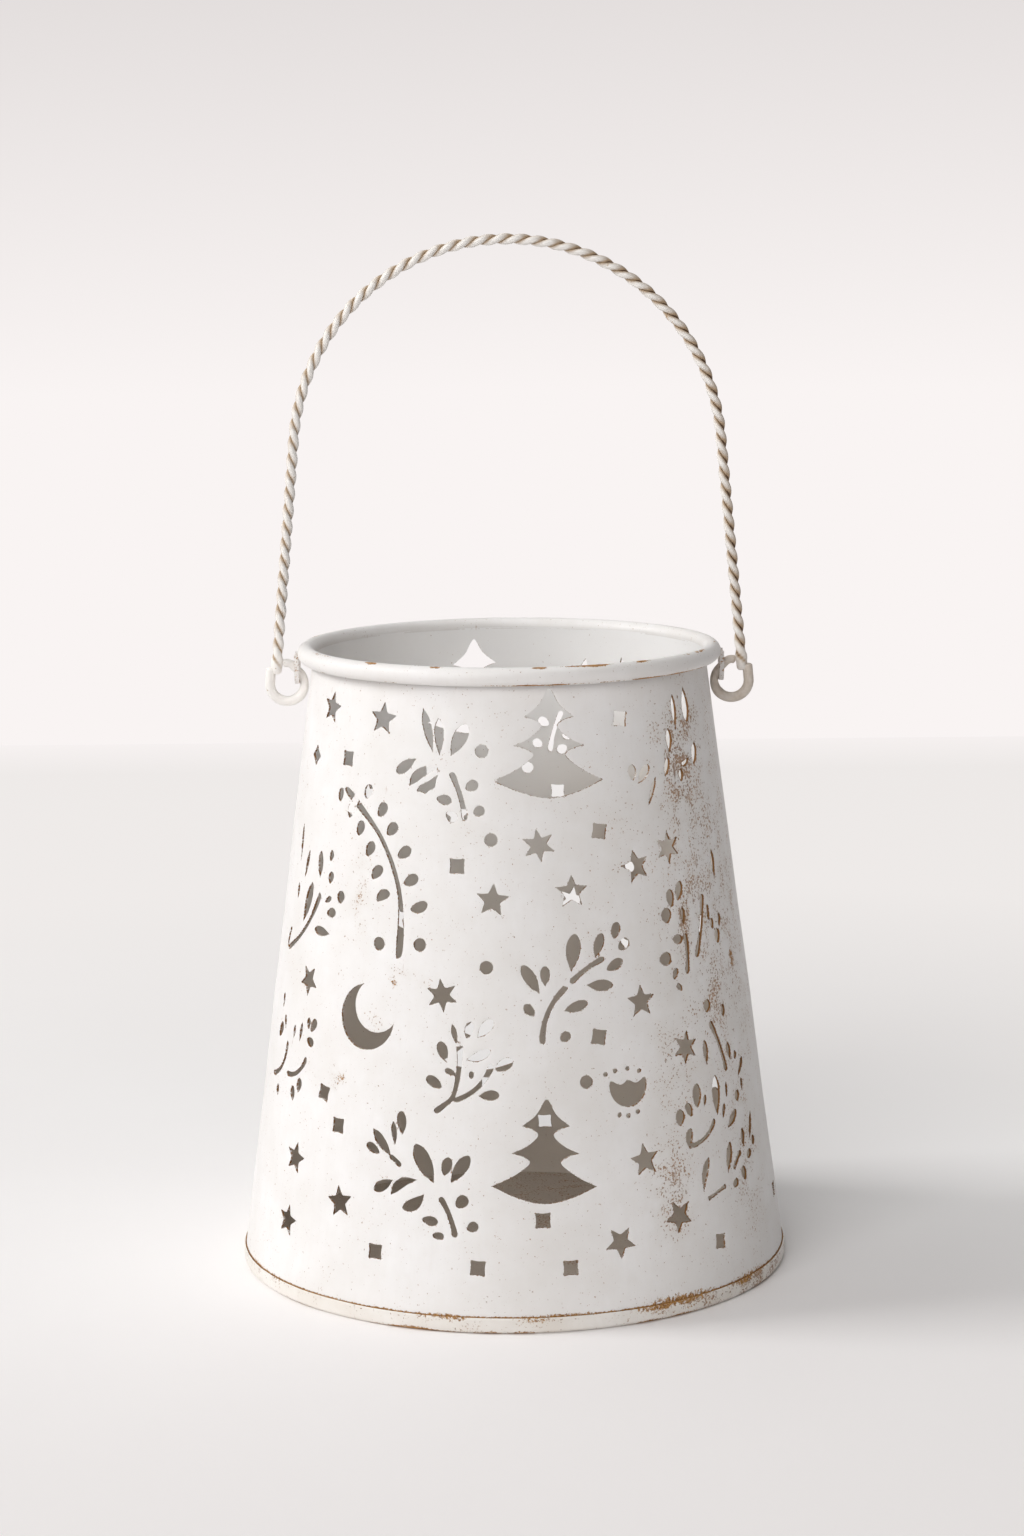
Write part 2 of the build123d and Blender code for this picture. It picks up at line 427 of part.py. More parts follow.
def bail_eye():
    """Wire ring that hangs from the ferrule and hooks through the ear on the +X side."""
    splay = degrees(BAIL_SPLAY)
    centre = Vector(EYE_CENTRE, EYE_HEIGHT)
    up = Vector(*LEG_UP)
    ring_start = centre + Vector(EYE_RADIUS, 0).rotate(Axis.Z, splay)
    lead_start = ring_start + up * (Vector(*LEG_FOOT) - ring_start).dot(up)
    hook_end = Vector(*HOOK_PLACE) + Vector(EYE_HOOK_RUN, 0).rotate(Axis.Z, EYE_HOOK_ANGLE - 90)
    tip_centre = hook_end + Vector(EYE_TIP_RADIUS, 0).rotate(Axis.Z, EYE_HOOK_ANGLE - 180)
    path = [
        Line(lead_start, ring_start),
        CenterArc(centre, EYE_RADIUS, splay, -(360 - EYE_HOOK_ANGLE + splay)),
        Line(Vector(*HOOK_PLACE), hook_end),
        CenterArc(tip_centre, EYE_TIP_RADIUS, EYE_HOOK_ANGLE, -EYE_TIP_TURN),
    ]
    wire = Plane.XZ * Wire(path)
    bends = Polyline([wire @ (step / EYE_STEPS) for step in range(EYE_STEPS + 1)])
    start = Plane(origin=bends @ 0, x_dir=(0, 1, 0), z_dir=bends % 0)
    return sweep(start * RegularPolygon(EYE_WIRE_RADIUS, EYE_SIDES), path=bends, transition=Transition.RIGHT)


def ear():
    """Tin strap bent into a U under the rim bead on the +X side, with its ends against the bead."""
    turns = [pi + pi * step / EAR_STEPS for step in range(EAR_STEPS + 1)]
    outlines = []
    for radius in (EAR_BORE_RADIUS + SHEET, EAR_BORE_RADIUS):
        bend = [(radius * cos(turn), radius * sin(turn)) for turn in turns]
        outlines.append([(-radius, EAR_TOP)] + bend + [(radius, EAR_TOP)])
    strap = make_face(Polyline(outlines[0] + outlines[1][::-1], close=True))
    place = Plane(origin=(EAR_PLACE, 0, HINGE_HEIGHT), x_dir=(0, 1, 0), z_dir=(1, 0, 0))
    return extrude(place * strap, EAR_WIDTH / 2, both=True) - rim_ring(BEAD_RADIUS + SEAT_GAP)


def other_side(piece):
    """Copy of a piece of the +X side on the -X side."""
    return piece.mirror(Plane.YZ)


nodes = {
    "punched_body": punched_body(),
    "base_pan": base_pan(),
    "ear_right": ear(),
    "ear_left": other_side(ear()),
    "bail_strand_a": bail_strand(0),
    "bail_strand_b": bail_strand(180),
    "ferrule_right": ferrule(),
    "ferrule_left": other_side(ferrule()),
    "bail_eye_right": bail_eye(),
    "bail_eye_left": other_side(bail_eye()),
}

os.makedirs("parts", exist_ok=True)
for name, piece in nodes.items():
    export_step(piece, f"parts/{name}.step")
print("hinge axis height", round(HINGE_HEIGHT, 3), "ear at x", round(EAR_PLACE, 3))
print("bail splay in degrees", round(degrees(BAIL_SPLAY), 2), "eye at x", round(EYE_CENTRE, 3))
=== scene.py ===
import json
import math

import bpy
import numpy as np
from mathutils import Matrix, Vector, kdtree, noise
from mathutils.geometry import delaunay_2d_cdt


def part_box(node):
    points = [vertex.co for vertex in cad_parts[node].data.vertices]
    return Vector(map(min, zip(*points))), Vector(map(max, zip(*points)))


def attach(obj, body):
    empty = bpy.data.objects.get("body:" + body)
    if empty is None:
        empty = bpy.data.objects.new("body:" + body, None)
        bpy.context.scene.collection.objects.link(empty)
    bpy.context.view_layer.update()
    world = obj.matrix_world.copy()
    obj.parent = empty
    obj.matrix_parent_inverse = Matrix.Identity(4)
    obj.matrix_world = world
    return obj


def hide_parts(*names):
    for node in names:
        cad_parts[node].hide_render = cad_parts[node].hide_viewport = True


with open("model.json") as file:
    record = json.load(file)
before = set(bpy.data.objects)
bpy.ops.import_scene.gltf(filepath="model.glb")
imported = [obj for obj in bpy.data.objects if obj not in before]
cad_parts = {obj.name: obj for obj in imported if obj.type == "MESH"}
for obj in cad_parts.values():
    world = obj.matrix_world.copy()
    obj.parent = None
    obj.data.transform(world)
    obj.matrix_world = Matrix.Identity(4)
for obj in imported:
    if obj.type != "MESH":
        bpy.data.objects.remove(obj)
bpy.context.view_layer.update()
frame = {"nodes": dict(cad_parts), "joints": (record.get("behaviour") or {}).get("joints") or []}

# Punched tin lantern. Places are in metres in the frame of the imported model, and MM turns a size in
# millimetres into metres. An azimuth runs from the front, which is -Y, towards +X.
MM = 0.001


def node_points(name):
    """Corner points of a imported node."""
    mesh = frame["nodes"][name].data
    points = np.empty(len(mesh.vertices) * 3)
    mesh.vertices.foreach_get("co", points)
    return points.reshape(-1, 3)


# Sizes read from the frame
FOOT_SLACK = 0.1 * MM
RIM_DEPTH = 4 * MM
BODY_POINTS = node_points("punched_body")
BODY_REACH = np.hypot(BODY_POINTS[:, 0], BODY_POINTS[:, 1])
BODY_TOP = BODY_POINTS[:, 2].max()
SHEET = BODY_POINTS[:, 2].min()
HEM_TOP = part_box("base_pan")[1].z
WALL_FOOT = BODY_REACH[BODY_POINTS[:, 2] < HEM_TOP + FOOT_SLACK].max()
RIM_RADIUS = BODY_REACH[BODY_POINTS[:, 2] > BODY_TOP - RIM_DEPTH].max()
FOOT_RADIUS = np.hypot(*node_points("base_pan")[:, :2].T).max()
HINGE_HEIGHT = frame["joints"][0]["pos_m"][2]

# Rolled rim bead and the wall below it
BEAD_RADIUS = 1.95 * MM
BEAD_CENTRE = RIM_RADIUS - BEAD_RADIUS
BEAD_HEIGHT = BODY_TOP - BEAD_RADIUS
WALL_TOP = BEAD_CENTRE - BEAD_RADIUS + SHEET
TAPER = (WALL_FOOT - WALL_TOP) / (BEAD_HEIGHT - HEM_TOP)
LEAN = math.atan(TAPER)
MIDDLE_RADIUS = (WALL_FOOT + WALL_TOP) / 2

# Lapped seam
SEAM_AZIMUTH = math.radians(100)
SEAM_WIDTH = 3.6 * MM


def wall_radius(height):
    """Outer radius of the wall at a height: a cone over an upright foot."""
    return WALL_FOOT - TAPER * np.maximum(height - HEM_TOP, 0)


# Sockets and settings of the shader node that mixes two colours
SHARE, UNDER, OVER = 0, 6, 7
BLEND = {"output": 2, "data_type": "RGBA"}


def linear(hex_colour):
    """Linear RGBA of an sRGB hex colour."""
    parts = [int(hex_colour[at:at + 2], 16) / 255 for at in (1, 3, 5)]
    parts = [part / 12.92 if part <= 0.04045 else ((part + 0.055) / 1.055) ** 2.4 for part in parts]
    return parts + [1.0]


def add(tree, kind, sockets, output=0, **settings):
    """Adds a shader node with its settings, gives its sockets a value, a hex colour or a link, and
    returns one of its outputs."""
    node = tree.nodes.new(kind)
    for name, value in settings.items():
        setattr(node, name, value)
    for socket, value in sockets.items():
        if isinstance(value, bpy.types.NodeSocket):
            tree.links.new(value, node.inputs[socket])
        else:
            node.inputs[socket].default_value = linear(value) if isinstance(value, str) else value
    return node.outputs[output]


def start_material(name):
    """New material with its node tree, its principled shader and its coordinates in millimetres."""
    material = bpy.data.materials.new(name)
    material.use_nodes = True
    tree = material.node_tree
    shader = tree.nodes["Principled BSDF"]
    place = add(tree, "ShaderNodeTexCoord", {}, "Object")
    place = add(tree, "ShaderNodeVectorMath", {0: place, 1: (1 / MM,) * 3}, operation="MULTIPLY")
    return material, tree, shader, place


# How many times longer than wide a brush stroke and a run of rust are
STROKE_LENGTH = 7
RUN_LENGTH = 16


def weathered_paint(name, paint, grime_and_painted_shade):
    """Chalky white paint brushed on tin plate, gone off with age: soft uneven white, brown rust
    freckles and runs where the plate has bled through, an ochre line where two edges meet and brown
    metal along cuts."""
    material, tree, shader, place = start_material(name)
    rust, edge, ochre, bare, lining = (
        add(tree, "ShaderNodeAttribute", {}, "Fac", attribute_name=label)
        for label in ("rust", "edge", "ochre", "bare", "lining"))

    # Brush strokes 1.1 mm wide and runs 1 mm wide go down the wall. Freckles of 0.5 mm and chips of
    # 0.6 mm lie any way, rust gathers in clusters of 5 mm and the white is clouded over 16 mm.
    strokes = add(tree, "ShaderNodeVectorMath", {0: place, 1: (1, 1, 1 / STROKE_LENGTH)},
                  operation="MULTIPLY")
    drips = add(tree, "ShaderNodeVectorMath", {0: place, 1: (1, 1, 1 / RUN_LENGTH)},
                operation="MULTIPLY")
    cloud, brush, freckle, cluster, run, chip = (
        add(tree, "ShaderNodeTexNoise",
            {"Vector": along, "Scale": 1 / size, "Detail": detail, "Roughness": ragged})
        for along, size, detail, ragged in (
            (place, 16, 4, 0.5), (strokes, 1.1, 3, 0.5), (place, 0.5, 2, 0.6), (place, 5, 3, 0.6),
            (drips, 1.0, 4, 0.6), (place, 0.6, 4, 0.7)))

    # Where rust has come through
    patch = add(tree, "ShaderNodeMapRange", {"Value": cluster, "From Min": 0.28, "From Max": 0.58})
    reach = add(tree, "ShaderNodeMath", {0: rust, 1: patch}, operation="MULTIPLY")
    freckles = add(tree, "ShaderNodeMath", {0: reach, 1: 0.34, 2: freckle}, operation="MULTIPLY_ADD")
    freckles = add(tree, "ShaderNodeMapRange", {"Value": freckles, "From Min": 0.74, "From Max": 0.8})
    runs = add(tree, "ShaderNodeMath", {0: reach, 1: 0.24, 2: run}, operation="MULTIPLY_ADD")
    runs = add(tree, "ShaderNodeMapRange", {"Value": runs, "From Min": 0.76, "From Max": 0.86})
    keen = add(tree, "ShaderNodeMapRange", {"Value": rust, "To Min": 0.58, "To Max": 1.0})
    chips = add(tree, "ShaderNodeMath", {0: edge, 1: keen, 2: chip}, operation="MULTIPLY_ADD")
    chips = add(tree, "ShaderNodeMapRange", {"Value": chips, "From Min": 1.0, "From Max": 1.1})
    lines = add(tree, "ShaderNodeMath", {0: chip, 1: 1.4, 2: ochre}, operation="MULTIPLY_ADD")
    lines = add(tree, "ShaderNodeMapRange", {"Value": lines, "From Min": 1.31, "From Max": 1.47})
    spots = add(tree, "ShaderNodeMath", {0: freckles, 1: runs}, operation="MAXIMUM")
    spots = add(tree, "ShaderNodeMath", {0: spots, 1: 0.8}, operation="MULTIPLY")

    # Clouded paint, brush marks, the inside painted paler as painted light (paler still higher up), a tan
    # haze round the rust, bare plate (on the inner wall: painted shade), then the rust
    clouded = add(tree, "ShaderNodeMapRange", {"Value": cloud, "From Min": 0.3, "From Max": 0.7})
    marks = add(tree, "ShaderNodeMapRange",
                {"Value": brush, "From Min": 0.45, "From Max": 0.75, "To Max": 0.3})
    haze = add(tree, "ShaderNodeMath", {0: reach, 1: 0.26}, operation="MULTIPLY")
    darker = add(tree, "ShaderNodeMapRange", {"Value": cluster, "From Min": 0.35, "From Max": 0.7})
    golden = add(tree, "ShaderNodeMapRange", {"Value": freckle, "From Min": 0.35, "From Max": 0.65})
    height = add(tree, "ShaderNodeSeparateXYZ", {0: place}, "Z")
    painted_light_towards_top = add(tree, "ShaderNodeMapRange", {"Value": height, "From Min": 50, "From Max": 115})
    # The lining colour is painted light: the inside is paler than the outside paint, and paler towards its
    # top
    inner, plate, bled, gold, tone = (
        add(tree, "ShaderNodeMix", {SHARE: share, UNDER: under, OVER: over}, **BLEND)
        for share, under, over in (
            (painted_light_towards_top, "#faf4ec", "#fcfbfa"), (cluster, "#b1a498", "#d3c9be"), (darker, "#6b4a30", "#a8794a"),
            (golden, "#7f5529", "#bd9058"), (clouded, paint, grime_and_painted_shade)))
    layers = ((marks, grime_and_painted_shade), (lining, inner), (haze, "#b8a48c"), (bare, plate), (spots, bled),
              (lines, gold), (chips, "#80592f"))
    for share, over in layers:
        tone = add(tree, "ShaderNodeMix", {SHARE: share, UNDER: tone, OVER: over}, **BLEND)
    tree.links.new(tone, shader.inputs["Base Color"])

    # Rust is dull and lies a little below the paint
    worn = add(tree, "ShaderNodeMath", {0: chips, 1: lines}, operation="MAXIMUM")
    worn = add(tree, "ShaderNodeMath", {0: spots, 1: worn}, operation="MAXIMUM")
    rough = add(tree, "ShaderNodeMapRange", {"Value": worn, "To Min": 0.5, "To Max": 0.85})
    tree.links.new(rough, shader.inputs["Roughness"])
    relief = add(tree, "ShaderNodeMath", {0: worn, 1: -1.2, 2: brush}, operation="MULTIPLY_ADD")
    bump = add(tree, "ShaderNodeBump", {"Height": relief, "Strength": 0.3, "Distance": 0.08 * MM})
    tree.links.new(bump, shader.inputs["Normal"])
    return material


def painted_wire():
    """White paint on twisted iron wire: clean white on the ridges, tan on their flanks as painted shade
    and dark brown in the groove between the two wires, partly rust where paint never reached and partly
    painted shade."""
    material, tree, shader, place = start_material("painted_iron_wire")
    groove = add(tree, "ShaderNodeAttribute", {}, "Fac", attribute_name="groove")
    mottle = add(tree, "ShaderNodeTexNoise",
                 {"Vector": place, "Scale": 1 / 1.4, "Detail": 2, "Roughness": 0.6})
    speck = add(tree, "ShaderNodeTexNoise", {"Vector": place, "Scale": 1 / 0.4, "Detail": 2})
    uneven = add(tree, "ShaderNodeMapRange", {"Value": mottle, "To Min": -0.16, "To Max": 0.16})

    # Painted shade: the wire is painted darker towards the right leg, on the side away from the light
    across = add(tree, "ShaderNodeSeparateXYZ", {0: place}, "X")
    right_leg_painted_shade = add(tree, "ShaderNodeMapRange",
                  {"Value": across, "From Min": -10, "From Max": 48, "To Max": 0.22})
    depth = add(tree, "ShaderNodeMath", {0: groove, 1: uneven}, operation="ADD")
    depth = add(tree, "ShaderNodeMath", {0: depth, 1: right_leg_painted_shade}, operation="ADD")
    # Tan flanks are painted shade; the dark slit in the groove is partly rust and partly painted shade
    flank = add(tree, "ShaderNodeMapRange", {"Value": depth, "From Min": 0.2, "From Max": 0.78})
    slit = add(tree, "ShaderNodeMapRange", {"Value": depth, "From Min": 0.88, "From Max": 1.04})
    flake = add(tree, "ShaderNodeMath", {0: speck, 1: 0.3, 2: mottle}, operation="MULTIPLY_ADD")
    flake = add(tree, "ShaderNodeMapRange", {"Value": flake, "From Min": 0.86, "From Max": 0.92})
    tone = add(tree, "ShaderNodeMix", {SHARE: flank, UNDER: "#f2eee9", OVER: "#ac9478"}, **BLEND)
    for share, over in ((slit, "#543b27"), (flake, "#b79c7e")):
        tone = add(tree, "ShaderNodeMix", {SHARE: share, UNDER: tone, OVER: over}, **BLEND)
    tree.links.new(tone, shader.inputs["Base Color"])
    rough = add(tree, "ShaderNodeMapRange", {"Value": depth, "To Min": 0.32, "To Max": 0.7})
    tree.links.new(rough, shader.inputs["Roughness"])
    bump = add(tree, "ShaderNodeBump", {"Height": mottle, "Strength": 0.2, "Distance": 0.05 * MM})
    tree.links.new(bump, shader.inputs["Normal"])
    return material


def new_piece(name, points, faces, material, numbers=None, sharp=40):
    """Mesh object with smooth faces, creases above an angle and named numbers on its points."""
    mesh = bpy.data.meshes.new(name)
    mesh.from_pydata([tuple(point) for point in points], [], [tuple(face) for face in faces])
    mesh.materials.append(material)
    for label, values in (numbers or {}).items():
        layer = mesh.attributes.new(label, "FLOAT", "POINT")
        layer.data.foreach_set("value", np.asarray(values, np.float32))
    mesh.validate()
    mesh.shade_smooth()
    mesh.set_sharp_from_angle(angle=math.radians(sharp))
    piece = bpy.data.objects.new(name, mesh)
    bpy.context.scene.collection.objects.link(piece)
    return piece


def grid_faces(rows, columns, closed=True):
    """Quads between rows of points stored row by row, each row closed to a ring or left open."""
    faces = []
    for row in range(rows - 1):
        here = row * columns
        above = here + columns
        for column in range(columns if closed else columns - 1):
            beside = (column + 1) % columns
            faces.append((here + column, here + beside, above + beside, above + column))
    return faces


def settle(piece, body, slot, *nodes):
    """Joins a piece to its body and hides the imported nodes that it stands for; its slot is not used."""
    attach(piece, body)
    if nodes:
        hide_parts(*nodes)


# Punched sheet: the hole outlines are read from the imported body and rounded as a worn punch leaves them

# Packed points are rounded to 1 / WELD metres so that shared corners meet, and TINY guards a division
WELD = 1e7
TINY = 1e-30

# Which triangles lie on the outer wall, and which of the loops round them are holes
ON_WALL = 0.2 * MM
FACING_OUT = 0.95
LEAN_SLACK = 0.02
HOLE_POINTS = 50
TALLEST_HOLE = 60 * MM
WIDEST_HOLE = 1.5

# Corners and curves of the outlines
OUTLINE_STEP = 0.42 * MM
STRAIGHT_TURN = math.radians(4.5)
SHARP_TURN = math.radians(118)
CORNER_ROUND = 0.3 * MM
SQUARE_DISH = 0.14 * MM
SQUARE_CORNERS = 5
STAR_CORNERS = (10, 12)
FEWEST_CORNERS = 4
EASE_PASSES = 3

# Points of the flat sheet between the holes, and how clear of a hole they stay
GRID_STEP = 2.2 * MM
FOOT_ROWS = (0.0, 0.15 * MM, 0.35 * MM, 0.7 * MM, 1.3 * MM)
EDGE_RINGS = (0.35 * MM, 0.9 * MM)
GRID_CLEAR = EDGE_RINGS[1] * 1.2
RING_CLEAR = 0.85
HOLE_MARGIN = 2 * MM
BORDER_SLACK = 1e-9
MERGE = 1e-8

# Soft dents of the wall, calm near its ends, and the edge that the punch presses in
DENT_DEPTH = 0.16 * MM
DENT_WAVES = 2.1
DENT_RISE = 42
CALM_TOP = 12 * MM
CALM_FOOT = 10 * MM
PRESS_DEPTH = 0.07 * MM
PRESS_REACH = 0.45 * MM
SHEET_CREASE = 50

# Wear of the sheet: chipped cuts, the least rust anywhere, its share inside and the ochre line's height
CUT_EDGE = 0.9
FACE_EDGE = 0.75
EDGE_REACH = 0.5 * MM
LEAST_RUST = 0.2
INNER_RUST = 0.4
FOOT_LINE = 0.55 * MM

# Worn places on the wall: azimuth in degrees, height in mm, spread in degrees, rise in mm and strength
RUST_PATCHES = [
    (62, 84, 30, 62, 0.64), (58, 122, 10, 8, 0.8), (44, 118, 7, 10, 0.6), (52, 112, 9, 20, 0.95),
    (50, 82, 8, 13, 1.0), (56, 66, 9, 16, 0.8), (40, 52, 9, 16, 0.62), (36, 27, 8, 15, 0.75),
    (30, 100, 9, 14, 0.45), (-41, 88, 4, 14, 0.55), (-28, 73, 3, 3, 0.6), (-33, 62, 5, 4, 0.5),
    (-22, 71, 4, 3, 0.4), (20, 80, 16, 24, 0.3), (-43.5, 50, 2, 4, 0.7), (62, 30, 12, 26, 0.6),
    (130, 90, 22, 34, 0.6), (172, 40, 18, 28, 0.6), (-130, 70, 20, 40, 0.55), (-165, 104, 16, 20, 0.5),
]
STAIN_PATCHES = [
    (36, 3.5, 17, 2.0, 0.8), (-14, 3.5, 9, 1.0, 0.74), (58, 3.5, 14, 1.7, 0.76),
    (-70, 3.6, 12, 1.2, 0.62), (10, 3.5, 16, 0.9, 0.8), (42.4, 105.6, 1.9, 1.9, 0.75),
    (52, 96, 2.0, 16, 0.7), (49, 84, 1.8, 12, 0.72), (56, 78, 1.8, 12, 0.68),
    (-41, 86, 2.2, 12, 0.62), (-38, 96, 2.0, 6, 0.6), (-28.5, 70.5, 1.7, 1.7, 1.0),
    (-42.6, 49.6, 1.9, 2.4, 1.0), (67.5, 70, 2.4, 3.0, 1.0), (160, 5, 30, 3, 0.6),
    (-140, 60, 4, 10, 0.6),
]
# Painted shade on the inner wall at the back right, where light through the mouth falls: azimuth, height,
# spread, rise and strength
INNER_PAINTED_SHADE = [(146, 72, 20, 30, 1.0)]


def azimuths(loop):
    """Azimuth of each point of a loop, without a jump of a full turn."""
    return np.unwrap(np.arctan2(loop[:, 0], -loop[:, 1]))


def is_hole(loop):
    """Whether a loop is a punched hole, and not a sliver or an end of the wall."""
    narrow = np.ptp(azimuths(loop)) < WIDEST_HOLE
    return 2 < len(loop) < HOLE_POINTS and np.ptp(loop[:, 2]) < TALLEST_HOLE and narrow


def hole_loops():
    """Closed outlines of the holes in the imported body's outer wall."""
    mesh = frame["nodes"]["punched_body"].data
    mesh.calc_loop_triangles()
    corners = np.empty(len(mesh.loop_triangles) * 3, int)
    mesh.loop_triangles.foreach_get("vertices", corners)
    places, index = np.unique(np.round(BODY_POINTS * WELD), axis=0, return_inverse=True)
    places = places / WELD
    triangles = index.reshape(-1)[corners].reshape(-1, 3)
    spread = places[triangles]
    normal = np.cross(spread[:, 1] - spread[:, 0], spread[:, 2] - spread[:, 0])
    size = np.linalg.norm(normal, axis=1)
    normal = normal / np.maximum(size, TINY)[:, None]
    middle = spread.mean(axis=1)
    outward = normal[:, 0] * middle[:, 0] + normal[:, 1] * middle[:, 1]
    outward = outward / np.hypot(middle[:, 0], middle[:, 1])
    off_wall = np.abs(wall_radius(places[:, 2]) - np.hypot(places[:, 0], places[:, 1]))
    on_wall = (off_wall < ON_WALL)[triangles].all(axis=1)
    tilted = np.abs(normal[:, 2] - math.sin(LEAN)) < LEAN_SLACK
    kept = triangles[(size > 0) & (outward > FACING_OUT) & on_wall & tilted]
    edges = {(a, b) for face in kept.tolist() for a, b in zip(face, face[1:] + face[:1])}
    following = {}
    for a, b in edges:
        if (b, a) not in edges:
            following.setdefault(a, []).append(b)
    loops = []
    for start in sorted(following):
        while following.get(start):
            loop = [start]
            here = following[start].pop()
            while here != start and following.get(here):
                loop.append(here)
                here = following[here].pop()
            loops.append(places[loop])
    return [loop for loop in loops if is_hole(loop)]


def turns_of(points):
    """Change of direction at each corner of a closed outline."""
    before = points - np.roll(points, 1, axis=0)
    after = np.roll(points, -1, axis=0) - points
    cross = before[:, 0] * after[:, 1] - before[:, 1] * after[:, 0]
    return np.arctan2(cross, (before * after).sum(axis=1))


def curve_through(points, closed):
    """Even points of a smooth curve through a few points."""
    count = len(points)
    spans = count if closed else count - 1
    curve = []
    for span in range(spans):
        if closed:
            p0, p1, p2, p3 = (points[(span + shift) % count] for shift in (-1, 0, 1, 2))
        else:
            p1, p2 = points[span], points[span + 1]
            p0 = points[span - 1] if span else 2 * p1 - p2
            p3 = points[span + 2] if span + 2 < count else 2 * p2 - p1
        gaps = [max(np.linalg.norm(b - a), TINY) ** 0.5 for a, b in ((p0, p1), (p1, p2), (p2, p3))]
        out = (p1 - p0) / gaps[0] - (p2 - p0) / (gaps[0] + gaps[1]) + (p2 - p1) / gaps[1]
        into = (p2 - p1) / gaps[1] - (p3 - p1) / (gaps[1] + gaps[2]) + (p3 - p2) / gaps[2]
        out, into = out * gaps[1], into * gaps[1]
        steps = max(2, int(np.linalg.norm(p2 - p1) / OUTLINE_STEP + 0.5))
        for step in range(steps):
            t = step / steps
            curve.append((2 * t**3 - 3 * t**2 + 1) * p1 + (t**3 - 2 * t**2 + t) * out
                         + (3 * t**2 - 2 * t**3) * p2 + (t**3 - t**2) * into)
    return curve


def straight_outline(points):
    """Outline of a square or a star: straight or slightly dished sides with small rounded corners."""
    outline = []
    count = len(points)
    dish = SQUARE_DISH if count <= SQUARE_CORNERS else 0
    for here in range(count):
        corner = points[here]
        back = points[here - 1] - corner
        on = points[(here + 1) % count] - corner
        ends = [corner + way / np.linalg.norm(way) * CORNER_ROUND for way in (back, on)]
        outline += [ends[0], (ends[0] + ends[1] + 2 * corner) / 4, ends[1]]
        side = np.linalg.norm(on)
        length = side - 2 * CORNER_ROUND
        steps = int(length / OUTLINE_STEP)
        inward = np.array([-on[1], on[0]]) / side
        inward *= np.sign(inward @ (points.mean(axis=0) - corner)) * dish
        for step in range(1, steps):
            share = step / steps
            outline.append(ends[1] + on / side * length * share + inward * 4 * share * (1 - share))
    return np.array(outline)


def ease(outline, fixed):
    """Outline with its small kinks worn round, except at fixed points."""
    for _ in range(EASE_PASSES):
        middle = (np.roll(outline, 1, axis=0) + np.roll(outline, -1, axis=0)) / 2
        worn = (outline + middle) / 2
        worn[fixed] = outline[fixed]
        outline = worn
    return outline


def soft_outline(points):
    """Outline of one hole as the punch leaves it."""
    while True:
        turns = turns_of(points)
        bent = np.abs(turns) > STRAIGHT_TURN
        if bent.all() or bent.sum() < FEWEST_CORNERS:
            break
        straightest = np.argmin(np.abs(turns))
        points = np.delete(points, straightest, axis=0)
    count = len(points)
    signs = np.sign(turns)
    in_and_out = (signs[0::2] == signs[0]).all() and (signs[1::2] == -signs[0]).all()
    if count <= SQUARE_CORNERS or count in STAR_CORNERS and in_and_out:
        return straight_outline(points)
    sharp = np.flatnonzero(np.abs(turns) > SHARP_TURN)
    if not len(sharp):
        return ease(np.array(curve_through(points, True)), [])
    points = np.roll(points, -sharp[0], axis=0)
    stops = [at - sharp[0] for at in sharp] + [count]
    points = np.vstack([points, points[:1]])
    outline, fixed = [], []
    for first, last in zip(stops, stops[1:]):
        fixed.append(len(outline))
        outline += curve_through(points[first:last + 1], False)
    return ease(np.array(outline), fixed)


def inside(outline, points):
    """Which points lie inside a closed outline."""
    hits = np.zeros(len(points), bool)
    for (x0, y0), (x1, y1) in zip(outline, np.roll(outline, -1, axis=0)):
        crosses = (y0 > points[:, 1]) != (y1 > points[:, 1])
        if y0 != y1:
            hits ^= crosses & (points[:, 0] < (x1 - x0) * (points[:, 1] - y0) / (y1 - y0) + x0)
    return hits


def unroll(loop):
    """Loop on the wall as flat distances from the seam and height, at the sheet's middle radius."""
    turns = azimuths(loop) - SEAM_AZIMUTH
    turns = turns - 2 * math.pi * math.floor(turns.mean() / (2 * math.pi))
    return np.stack([turns * MIDDLE_RADIUS, loop[:, 2]], axis=1)


def round_hole(loop):
    """Softened outline of a loop, worked out at its true shape and given in the unrolled sheet."""
    flat = unroll(loop)
    squeeze = (wall_radius(flat[:, 1].mean()) / MIDDLE_RADIUS, 1 / math.cos(LEAN))
    return soft_outline(flat * squeeze) / squeeze


def ring_outside(outline, distance):
    """Points a distance outside an outline."""
    after = np.roll(outline, -1, axis=0)
    along = after - np.roll(outline, 1, axis=0)
    across = np.stack([along[:, 1], -along[:, 0]], axis=1)
    across /= np.maximum(np.linalg.norm(across, axis=1), TINY)[:, None]
    area = (outline[:, 0] * after[:, 1] - after[:, 0] * outline[:, 1]).sum()
    return outline + across * distance * np.sign(area)


